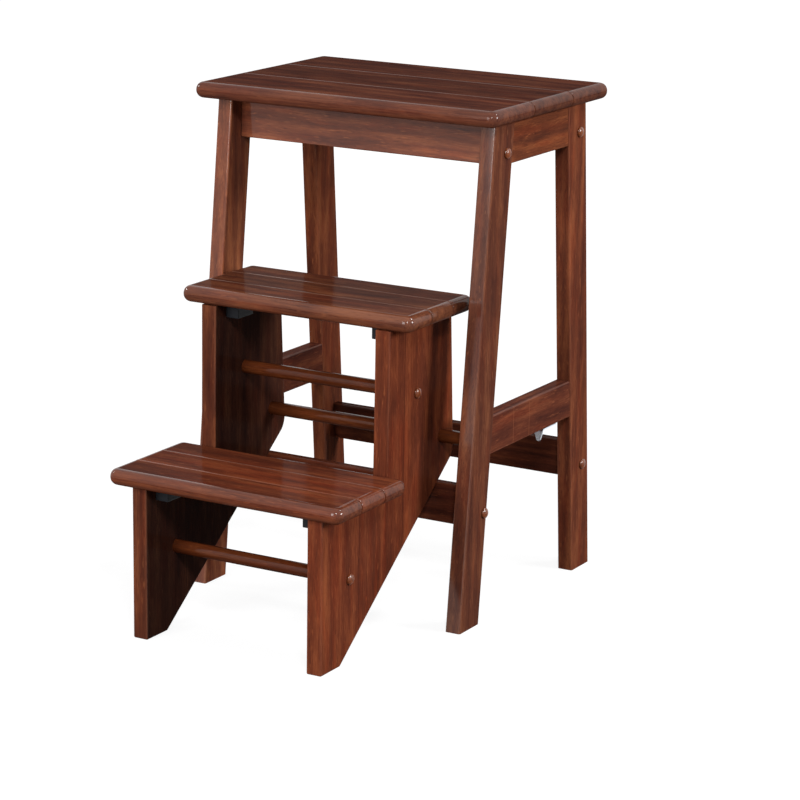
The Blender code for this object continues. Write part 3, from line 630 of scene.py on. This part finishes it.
# %% Turn a mesh into a piece
SHARP_ANGLE = math.radians(32)
BODIES = frame["record"]["behaviour"]["bodies"]
BODY_OF = {node: body for body, members in BODIES.items() for node in members}


def place_piece(name, shape, material, slot, *nodes):
    mesh = bpy.data.meshes.new(name)
    shape.to_mesh(mesh)
    shape.free()
    mesh.materials.append(material)
    mesh.shade_smooth()
    mesh.set_sharp_from_angle(angle=SHARP_ANGLE)
    piece = bpy.data.objects.new(name, mesh)
    bpy.context.scene.collection.objects.link(piece)
    even = piece.modifiers.new("even_shading", "WEIGHTED_NORMAL")
    even.keep_sharp = True
    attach(piece, BODY_OF[nodes[0]])
    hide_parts(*nodes)


print("bodies of", len(BODY_OF), "nodes known")

# %% [markdown]
# Most shapes begin as a box, and their edges are rounded with a bevel. The bevel hands back
# the faces that it made, so they can be marked for the lacquer at once.

# %% Boxes and rounded edges
def new_shape():
    """An empty bmesh that can mark the faces of its rounded edges."""
    shape = bmesh.new()
    shape.loops.layers.float.new(EASED)
    return shape


def box_shape(low, high):
    shape = new_shape()
    size, middle = high - low, (high + low) / 2
    place = Matrix.Translation(middle) @ Matrix.Diagonal((*size, 1.0))
    bmesh.ops.create_cube(shape, size=1.0, matrix=place)
    return shape


def ease(shape, edges, width, segments, clamp=True, mark=1.0):
    """Round some edges, and mark the new faces; with no clamp, short edges keep the width."""
    result = bmesh.ops.bevel(shape, geom=edges, offset=width, offset_type="OFFSET",
                             affect="EDGES", segments=segments, profile=0.5, material=-1,
                             clamp_overlap=clamp)
    layer = shape.loops.layers.float[EASED]
    for face in result["faces"]:
        for loop in face.loops:
            loop[layer] = mark


def edges_over(shape, angle):
    return [edge for edge in shape.edges if edge.calc_face_angle(0.0) > angle]


def long_edges(shape, axis):
    """The edges that run along a piece, which are sanded; those round its ends stay crisp."""
    reach = [abs(edge.verts[0].co[axis] - edge.verts[1].co[axis]) for edge in shape.edges]
    return [edge for edge, length in zip(shape.edges, reach) if length > max(reach) / 2]


print("edges are marked with the attribute", EASED)

# %% [markdown]
# ## Legs, aprons and rails
#
# These are straight sticks with square ends, and their long edges are eased by sanding. A
# cube, scaled to the stick's size and then sheared until it leans, makes each one. The lean
# is read from the frame: a stick's box is as deep as the stick plus what it leans.

# %% Legs
LEG_WIDTH = 0.0465
LEG_ARRIS = 0.0021
ARRIS_SEGMENTS = 4
FRONT_SHEEN = 0.50
# The front legs' greyer tones, and the left one's lightness, are partly a painted sheen.
LEG_TONES = {"front_leg_left": (1.40, 1.70, 1.70), "front_leg_right": (0.88, 1.10, 1.20),
             "rear_leg_left": (0.92, 0.98, 0.92), "rear_leg_right": (0.98, 1.06, 1.05)}
LEG_SEED = 0


def leaning_stick(node, width, forward_foot):
    """A stick of a given width along Y, whose foot lies forward or backward of its top."""
    low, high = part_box(node)
    ends = (low.y, high.y - width) if forward_foot else (high.y - width, low.y)
    shape = box_shape(Vector((low.x, 0.0, low.z)), Vector((high.x, width, high.z)))
    for vert in shape.verts:
        vert.co.y += ends[0] if vert.co.z < (low.z + high.z) / 2 else ends[1]
    print(node, "leans", round((high.y - low.y - width) * 1000, 1), "mm")
    return shape


def finish_stick(node, shape, arris, grain, seed, tone, figure=FIGURE, lines_and_highlights=None,
                 front_sheen=0.0):
    ease(shape, long_edges(shape, "xyz".index(grain)), arris, ARRIS_SEGMENTS)
    wood = stained_wood(f"wood_{node}", grain, seed, tone, figure=figure, lines_and_highlights=lines_and_highlights,
                        front_sheen=front_sheen)
    place_piece(f"{node}_stick", shape, wood, "stained_wood", node)


for seed, (node, tone) in enumerate(LEG_TONES.items(), start=LEG_SEED):
    is_front = node.startswith("front")
    finish_stick(node, leaning_stick(node, LEG_WIDTH, is_front), LEG_ARRIS, "z", seed, tone,
                 front_sheen=FRONT_SHEEN if is_front else 0.0)

# %% [markdown]
# The front and rear aprons stand upright. The lower rails lean with the legs that they
# join, the front one's foot forward and the rear one's foot back, so the same helper serves.

# %% Aprons and lower rails
RAIL_ARRIS = 0.0018
LOWER_RAIL_THICK = 0.0125
LOWER_RAIL_FIGURE = 0.20
# The front apron's lighter, greyer tone is partly a painted sheen.
APRON_TONES = {"front_apron": (1.20, 1.36, 1.34), "rear_apron": (0.80, 0.90, 0.90)}
# The rear lower rail's dark tone is painted shade.
LOWER_RAIL_TONES = {"front_lower_rail": 0.70, "rear_lower_rail": 0.42}
APRON_SEED, LOWER_RAIL_SEED = 10, 14

for seed, (node, tone) in enumerate(APRON_TONES.items(), start=APRON_SEED):
    finish_stick(node, box_shape(*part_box(node)), RAIL_ARRIS, "x", seed, tone,
                 front_sheen=FRONT_SHEEN)
for seed, (node, tone) in enumerate(LOWER_RAIL_TONES.items(), start=LOWER_RAIL_SEED):
    finish_stick(node, leaning_stick(node, LOWER_RAIL_THICK, node.startswith("front")),
                 RAIL_ARRIS, "x", seed, tone, LOWER_RAIL_FIGURE)
print("aprons:", ", ".join(APRON_TONES))

# %% [markdown]
# A side apron or side rail fits between a front leg and a rear leg that lean apart, so its
# ends slope both ways. A long box is made first, and its ends are then moved to the legs'
# faces. The tenons are hidden in the legs, and the solids of the frame already hold them.
# Two thin pale lines cross the right side rail.

# %% Side aprons and side rails
JOINT_GAP = 0.0003
LONG_BOX_REACH = 1.0                 # farther than any leg
# Y and half width of two thin pale lines drawn across the right side rail
RAIL_PALE_LINES = (0.0666, 0.1067)     # Y of the joints in the right side rail
RAIL_PALE_LINE = 0.0006                 # half a joint line's width
SIDE_TONES = {"side_apron_left": (1.08, 1.20, 1.05), "side_apron_right": (1.08, 1.20, 1.05),
              "side_rail_left": (0.88, 0.97, 1.04), "side_rail_right": (0.88, 0.97, 1.04)}
SIDE_SEED = 20


def leg_edge(leg, back, z):
    """Y of a leg's front or back face at a height."""
    low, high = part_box(leg)
    share = (z - low.z) / (high.z - low.z)
    foot, top = low.y, high.y - LEG_WIDTH
    if leg.startswith("rear"):
        foot, top = top, foot
    return foot + (top - foot) * share + (LEG_WIDTH if back else 0.0)


def side_stick(node):
    side = node.split("_")[-1]
    low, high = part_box(node)
    shape = box_shape(Vector((low.x, -LONG_BOX_REACH, low.z)),
                      Vector((high.x, LONG_BOX_REACH, high.z)))
    for vert in shape.verts:
        if vert.co.y < 0.0:
            vert.co.y = leg_edge(f"front_leg_{side}", True, vert.co.z) + JOINT_GAP
        else:
            vert.co.y = leg_edge(f"rear_leg_{side}", False, vert.co.z) - JOINT_GAP
    return shape


for seed, (node, tone) in enumerate(SIDE_TONES.items(), start=SIDE_SEED):
    has_pale_lines = node == "side_rail_right"
    finish_stick(node, side_stick(node), RAIL_ARRIS, "y", seed, tone,
                 lines_and_highlights=("Y", RAIL_PALE_LINES, RAIL_PALE_LINE, STAIN[LIGHT]) if has_pale_lines else None)
print("placed:", ", ".join(SIDE_TONES))

# %% [markdown]
# ## Seat and treads
#
# Each of these is a slab of three boards with a full round nose. The whole slab is made
# first: a cube whose upright corners are rounded, and then its top and bottom rims. Sawing
# it into boards afterwards leaves the round nose running over all three. Each saw cut is
# closed again, and its upper edge is rounded off, so two boards together make a groove.

# %% Make and saw a slab
CORNER_RADIUS = 0.0110
CORNER_SEGMENTS = 10
RIM_ANGLE = math.radians(60)
NOSE_SHARE = 0.47        # of the slab's thickness
NOSE_SEGMENTS = 10
GROOVE_WIDTH = 0.0018
GROOVE_SEGMENTS = 2
GROOVE_MARK = 0.6        # against 1 for an outer edge, so that it is less light and glossy


def slab_shape(low, high):
    shape = box_shape(low, high)
    upright = [edge for edge in shape.edges
               if abs(edge.verts[0].co.z - edge.verts[1].co.z) > (high.z - low.z) / 2]
    ease(shape, upright, CORNER_RADIUS, CORNER_SEGMENTS)
    ease(shape, edges_over(shape, RIM_ANGLE), NOSE_SHARE * (high.z - low.z), NOSE_SEGMENTS)
    return shape


def saw_off(shape, y, keep_rear, z_low):
    """Saw a slab across at y, close the cut and round its upper edge."""
    bmesh.ops.bisect_plane(shape, geom=shape.verts[:] + shape.edges[:] + shape.faces[:],
                           plane_co=(0.0, y, 0.0), plane_no=(0.0, 1.0, 0.0),
                           clear_inner=keep_rear, clear_outer=not keep_rear)
    rim = [edge for edge in shape.edges if edge.is_boundary]
    bmesh.ops.contextual_create(shape, geom=rim)
    bmesh.ops.recalc_face_normals(shape, faces=shape.faces)
    groove = [edge for edge in rim if max(vert.co.z for vert in edge.verts) > z_low + JOINT_GAP]
    ease(shape, groove, GROOVE_WIDTH, GROOVE_SEGMENTS, clamp=False, mark=GROOVE_MARK)


print("a slab's nose takes", NOSE_SHARE, "of its thickness at the top and at the bottom")

# %% [markdown]
# The boards differ in tone, and the treads' edges are glossier than the seat's. Each groove
# gets a thin painted highlight on its rear side, where a real groove catches the light.

# %% Seat and treads
BOARD_PLACES = ("front", "middle", "rear")
BOARD_FIGURE = 0.12
# the colour of a groove's painted highlight
GROOVE_PAINTED_HIGHLIGHT = (0.210, 0.085, 0.055)
SLABS = {
    "seat": {"seed": 30, "gloss": (0.020, 0.42),
             "tones": ((0.70, 0.80, 0.93), (0.60, 0.70, 0.80), (0.62, 0.72, 0.83))},
    # the upper tread's greyer tones are partly a painted sheen on its top
    "upper_tread": {"seed": 35, "gloss": (0.060, 0.66),
                    "tones": ((0.84, 0.98, 1.02), (0.79, 0.96, 1.00), (0.81, 0.94, 0.98))},
    "lower_tread": {"seed": 40, "gloss": (0.045, 0.70),
                    "tones": ((0.82, 0.82, 0.78), (0.94, 0.87, 0.78), (0.84, 0.82, 0.78))},
}


def add_slab(label, seed, gloss, tones):
    nodes = [f"{label}_board_{place}" for place in BOARD_PLACES]
    boxes = [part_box(node) for node in nodes]
    low, high = boxes[0]
    high = Vector((high.x, boxes[-1][1].y, high.z))
    for index, (node, (front_low, rear_high)) in enumerate(zip(nodes, boxes)):
        shape = slab_shape(low, high)
        lines_and_highlights = None
        if index > 0:
            saw_off(shape, front_low.y, True, low.z)
            lines_and_highlights = ("Y", (front_low.y + GROOVE_WIDTH / 2,), GROOVE_WIDTH / 2, GROOVE_PAINTED_HIGHLIGHT)
        if index < len(nodes) - 1:
            saw_off(shape, rear_high.y, False, low.z)
        wood = stained_wood(f"wood_{node}", "x", seed + index, tones[index], lines_and_highlights=lines_and_highlights,
                            figure=BOARD_FIGURE, lines_on_top=True, gloss=gloss)
        place_piece(f"{node}_sawn", shape, wood, "stained_wood", node)
    print(label, "slab", [round(side * 1000, 1) for side in high - low], "mm")


for label, settings in SLABS.items():
    add_slab(label, **settings)

# %% [markdown]
# ## The step unit's panels
#
# A panel is cut from glued-up boards to the outline of a stair: a foot, a long slope up to
# a rounded corner behind the pivot, and two steps in front. Seven corners describe it. The
# corner behind the pivot is where the slope, which passes just over the front lower rail,
# meets the line from the upper tread down past the pivot.

# %% Outline of a panel
FOOT_LENGTH = 0.0415
RISER_GAP = 0.0020
PANEL_BACK_MARGIN = 0.0294
PANEL_TOP_TAIL = 0.0047
RAIL_REST_GAP = 0.0005


def kink_corner(foot, top_back):
    """Where the slope from the foot meets the line from the tread down past the pivot."""
    rail_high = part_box("front_lower_rail")[1]
    reach = Vector((rail_high.y - LOWER_RAIL_THICK, rail_high.z)) - foot
    slope = math.atan2(reach.y, reach.x) + math.asin(RAIL_REST_GAP / reach.length)
    along = Vector((math.cos(slope), math.sin(slope)))
    low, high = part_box("pivot_dowel")
    behind = (low.yz + high.yz) / 2 + Vector((PANEL_BACK_MARGIN, 0.0))
    up = (top_back - behind).normalized()
    return foot + along * ((top_back - foot).cross(up) / along.cross(up))


def panel_corners(low, high):
    """The rounded corner, the heights that carry the treads, and all seven corners in turn."""
    tread_low, tread_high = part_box("lower_tread_board_rear")
    riser, step = tread_high.y + RISER_GAP, tread_low.z - JOINT_GAP
    foot = Vector((low.y + FOOT_LENGTH, low.z))
    top_back = Vector((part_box("upper_tread_board_rear")[1].y - PANEL_TOP_TAIL, high.z))
    kink = kink_corner(foot, top_back)
    return kink, (high.z, step), [(low.y, low.z), foot, kink, top_back, (riser, high.z),
                                  (riser, step), (low.y, step)]


low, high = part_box("step_panel_right")
print("panel corners:", [[round(part * 1000) for part in corner]
                         for corner in panel_corners(low, high)[2]])

# %% [markdown]
# The outline is a single face, pushed through the panel's thickness. A bevel of one edge
# rounds the corner behind the pivot, and its width follows from the radius and from how far
# the outline turns there. All other edges are eased, but for those that the treads cover.

# %% Stair-shaped panels
KINK_RADIUS = 0.0220
KINK_SEGMENTS = 12
PANEL_ARRIS = 0.0019
PANEL_FIGURE = 0.10
PANEL_SEAMS = (-0.1885, -0.0905)      # Y of the glued joints between a panel's boards
PANEL_LINE = 0.0007                   # half a joint line's width
# The left panel's darker tone is partly painted shade, set for its inner face.
PANELS = {"left": {"tone": (0.76, 0.85, 0.86), "shaded_inner_side": 1},
          "right": {"tone": (1.04, 1.00, 0.90), "shaded_inner_side": -1}}
PANEL_SEED = 50


def panel_shape(node):
    low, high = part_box(node)
    kink, tops, corners = panel_corners(low, high)
    shape = new_shape()
    outline = shape.faces.new([shape.verts.new((low.x, y, z)) for y, z in corners])
    pushed = bmesh.ops.extrude_face_region(shape, geom=[outline])
    moved = [item for item in pushed["geom"] if isinstance(item, bmesh.types.BMVert)]
    bmesh.ops.translate(shape, verts=moved, vec=(high.x - low.x, 0.0, 0.0))
    bmesh.ops.recalc_face_normals(shape, faces=shape.faces)
    corner = [edge for edge in shape.edges
              if all((vert.co.yz - kink).length < JOINT_GAP for vert in edge.verts)]
    bend = corner[0].calc_face_angle()
    ease(shape, corner, KINK_RADIUS * math.tan(bend / 2), KINK_SEGMENTS)
    covered = {edge for edge in shape.edges for top in tops
               if all(abs(vert.co.z - top) < JOINT_GAP for vert in edge.verts)}
    eased = [edge for edge in edges_over(shape, SHARP_ANGLE) if edge not in covered]
    ease(shape, eased, PANEL_ARRIS, ARRIS_SEGMENTS)
    return shape


for seed, (side, settings) in enumerate(PANELS.items(), start=PANEL_SEED):
    node = f"step_panel_{side}"
    wood = stained_wood(f"wood_{node}", "z", seed, figure=PANEL_FIGURE,
                        lines_and_highlights=("Y", PANEL_SEAMS, PANEL_LINE, STAIN[DARK]), **settings)
    place_piece(f"{node}_board", panel_shape(node), wood, "stained_wood", node)
    print(node, "done")

# %% [markdown]
# ## Dowels
#
# The three dowels are turned from another wood, and the stain leaves them more orange. A
# profile spun round X makes each: from the middle of one end out over a small chamfer, along
# to the other end, and back to the middle. The pivot is stepped down where it enters the legs.

# %% Turned dowels
DOWEL_RADIUS = 0.0080
DOWEL_CHAMFER = 0.0010
TURNING_STEPS = 48
WELD_DISTANCE = JOINT_GAP / 20
PIVOT_END_RADIUS = 0.0050
PIVOT_END_LENGTH = 0.0135
DOWEL_STAIN = ((0.046, 0.0105, 0.0045), (0.128, 0.0300, 0.0090), (0.250, 0.0700, 0.0190))
DOWEL_TONE = (0.56, 0.56, 0.60)
DOWEL_FIGURE = 0.10
DOWEL_COAT = 0.60
DOWEL_ENDS = {"lower_dowel": 0.0, "upper_dowel": 0.0, "pivot_dowel": PIVOT_END_LENGTH}
DOWEL_SEED = 60


def turned_shape(profile, base, direction, steps=TURNING_STEPS):
    """Spin a profile of (radius, distance) about an axis; distances run along the direction."""
    shape = new_shape()
    verts = [shape.verts.new((radius, 0.0, distance)) for radius, distance in profile]
    edges = [shape.edges.new(pair) for pair in zip(verts, verts[1:])]
    bmesh.ops.spin(shape, geom=verts + edges, cent=(0.0, 0.0, 0.0), axis=(0.0, 0.0, 1.0),
                   angle=math.tau, steps=steps, use_merge=True)
    bmesh.ops.remove_doubles(shape, verts=shape.verts, dist=WELD_DISTANCE)
    turn = Vector((0.0, 0.0, 1.0)).rotation_difference(Vector(direction)).to_matrix().to_4x4()
    bmesh.ops.transform(shape, matrix=Matrix.Translation(base) @ turn, verts=shape.verts)
    bmesh.ops.recalc_face_normals(shape, faces=shape.faces)
    return shape


def dowel_profile(length, end_length):
    """The profile from end to end; end_length is that of the thinner ends, or zero."""
    half = [(0.0, 0.0)]
    if end_length:
        half += [(PIVOT_END_RADIUS - DOWEL_CHAMFER, 0.0), (PIVOT_END_RADIUS, DOWEL_CHAMFER),
                 (PIVOT_END_RADIUS, end_length)]
    half += [(DOWEL_RADIUS - DOWEL_CHAMFER, end_length),
             (DOWEL_RADIUS, end_length + DOWEL_CHAMFER)]
    return half + [(radius, length - distance) for radius, distance in reversed(half)]


def add_dowel(node, seed, end_length):
    low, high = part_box(node)
    middle = (low + high) / 2
    shape = turned_shape(dowel_profile(high.x - low.x, end_length), (low.x, middle.y, middle.z),
                         (1.0, 0.0, 0.0))
    wood = stained_wood(f"wood_{node}", "x", seed, DOWEL_TONE, DOWEL_STAIN, DOWEL_FIGURE,
                        gloss=(DOWEL_COAT, DOWEL_COAT))
    place_piece(f"{node}_turned", shape, wood, "dowel_wood", node)
    print(node, round((high.x - low.x) * 1000, 1), "mm long")


for seed, (node, end_length) in enumerate(DOWEL_ENDS.items(), start=DOWEL_SEED):
    add_dowel(node, seed, end_length)

# %% [markdown]
# ## Caps of the bolts and screws
#
# Twelve domed caps show on the outer faces. They are glossier than the wood, and a small
# dome mirrors a lamp from almost anywhere. Their lacquer is left thin on the underside, as on
# the wood.

# %% Cap material
CAP_COLOUR = (0.190, 0.050, 0.016)
CAP_DARK = (0.120, 0.032, 0.011)
CAP_SPOTS = {"scale": 320.0, "detail": 2.0}
CAP_SPOT_SPAN = (0.35, 0.65)
CAP_SMOOTH_SPAN, CAP_ROUGHNESS = (0.3, 0.7), (0.20, 0.32)
CAP_UPWARD_SPAN, CAP_COAT = (-0.05, 0.40), (0.05, 0.9)
CAP_SOCKETS = {"Specular IOR Level": 0.05, "Coat IOR": 1.6, "Coat Roughness": 0.13}


def cap_material():
    material, tree, shader, source = new_material("brown_cap")
    spots = noise_node(tree, source.outputs["Object"], **CAP_SPOTS)
    colour = colour_mix(tree, range_node(tree, spots, CAP_SPOT_SPAN), CAP_DARK, CAP_COLOUR)
    roughness = range_node(tree, spots, CAP_SMOOTH_SPAN, CAP_ROUGHNESS)
    upward = split_node(tree, source.outputs["Normal"])["Z"]
    coat = range_node(tree, upward, CAP_UPWARD_SPAN, CAP_COAT)
    tree.links.new(colour, shader.inputs["Base Color"])
    tree.links.new(roughness, shader.inputs["Roughness"])
    tree.links.new(coat, shader.inputs["Coat Weight"])
    for key, value in CAP_SOCKETS.items():
        shader.inputs[key].default_value = value
    return material


brown = cap_material()
print("cap material", brown.name)

# %% [markdown]
# Each cap is spun from a short upright rim and a flat dome, and the shank behind it goes into
# the wood as the node's does.

# %% Domed caps
CAP_RADIUS = 0.0064
CAP_HEIGHT = 0.0042
CAP_RIM = 0.0010
CAP_STEPS = 40
DOME_STEPS = 10
SHANK_RADIUS = 0.0025


def cap_profile(reach):
    """From the shank's end to the crown, with distances from the wood's face outward."""
    dome = CAP_HEIGHT - CAP_RIM
    angles = [step * math.pi / 2 / DOME_STEPS for step in range(DOME_STEPS)]
    crown = [(CAP_RADIUS * math.cos(angle), CAP_RIM + dome * math.sin(angle))
             for angle in angles]
    shank = [(0.0, -reach), (SHANK_RADIUS, -reach), (SHANK_RADIUS, 0.0), (CAP_RADIUS, 0.0)]
    return shank + crown + [(0.0, CAP_HEIGHT)]


def add_cap(node, material):
    low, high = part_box(node)
    middle = (low + high) / 2
    outward = 1.0 if middle.x > 0.0 else -1.0
    face = (high.x if outward > 0.0 else low.x) - outward * CAP_HEIGHT
    shape = turned_shape(cap_profile(high.x - low.x - CAP_HEIGHT), (face, middle.y, middle.z),
                         (outward, 0.0, 0.0), CAP_STEPS)
    place_piece(f"{node}_cap", shape, material, "brown_cap", node)


cap_nodes = [node for node in frame["nodes"] if node.startswith(("leg_bolt", "dowel_screw"))]
for node in cap_nodes:
    add_cap(node, brown)
print(len(cap_nodes), "caps")

# %% [markdown]
# ## Plastic blocks, screws and the catch
#
# The blocks under the treads are moulded in a dark blue-grey plastic with a fine dull
# texture; their colour is set near black, partly as painted shade under the treads. The
# screws and the catch are bright zinc-plated steel, and a noise that is drawn
# out along Y, the way the catch lies, makes it look brushed. These pieces keep the packed
# shapes, so only their materials change.

# %% Plastic and steel
# near black, partly painted shade for the blocks under the treads
PLASTIC_AND_SHADE_COLOURS = (0.006, 0.0065, 0.008), (0.012, 0.013, 0.016)
PLASTIC_GRIT = {"scale": 1400.0, "detail": 3.0}
GRIT_SPAN, PLASTIC_ROUGHNESS = (0.3, 0.7), (0.45, 0.62)
PLASTIC_SPECULAR = 0.12
GRIT_STRENGTH, GRIT_DEPTH = 0.25, 0.0001
STEEL_COLOURS = (0.66, 0.70, 0.76), (0.80, 0.84, 0.90)
STEEL_STRETCH = (1.0, 0.05, 1.0)
STEEL_BRUSHING = {"scale": 2400.0, "detail": 2.0}
BRUSHED_SPAN, STEEL_ROUGHNESS = (0.3, 0.7), (0.24, 0.40)


def plastic_material():
    material, tree, shader, source = new_material("dark_plastic")
    grit = noise_node(tree, source.outputs["Object"], **PLASTIC_GRIT)
    tree.links.new(colour_mix(tree, grit, *PLASTIC_AND_SHADE_COLOURS), shader.inputs["Base Color"])
    tree.links.new(range_node(tree, grit, GRIT_SPAN, PLASTIC_ROUGHNESS),
                   shader.inputs["Roughness"])
    shader.inputs["Specular IOR Level"].default_value = PLASTIC_SPECULAR
    add_bump(tree, shader, grit, GRIT_STRENGTH, GRIT_DEPTH)
    return material


def steel_material():
    material, tree, shader, source = new_material("zinc_steel")
    brushed = noise_node(tree, stretched(tree, source.outputs["Object"], STEEL_STRETCH),
                         **STEEL_BRUSHING)
    tree.links.new(colour_mix(tree, brushed, *STEEL_COLOURS), shader.inputs["Base Color"])
    tree.links.new(range_node(tree, brushed, BRUSHED_SPAN, STEEL_ROUGHNESS),
                   shader.inputs["Roughness"])
    shader.inputs["Metallic"].default_value = 1.0
    return material


plastic, steel = plastic_material(), steel_material()
finishes = {"tread_block": plastic, "block_screw": steel, "seat_screw": steel, "catch": steel}
for node, thing in frame["nodes"].items():
    for start, finish in finishes.items():
        if node.startswith(start):
            thing.data.materials.clear()
            thing.data.materials.append(finish)
print("plastic and steel set")

# %% [markdown]
# ## The end
#
# The last step only prints that the script has run.

# %% Finish
print("sizes written")
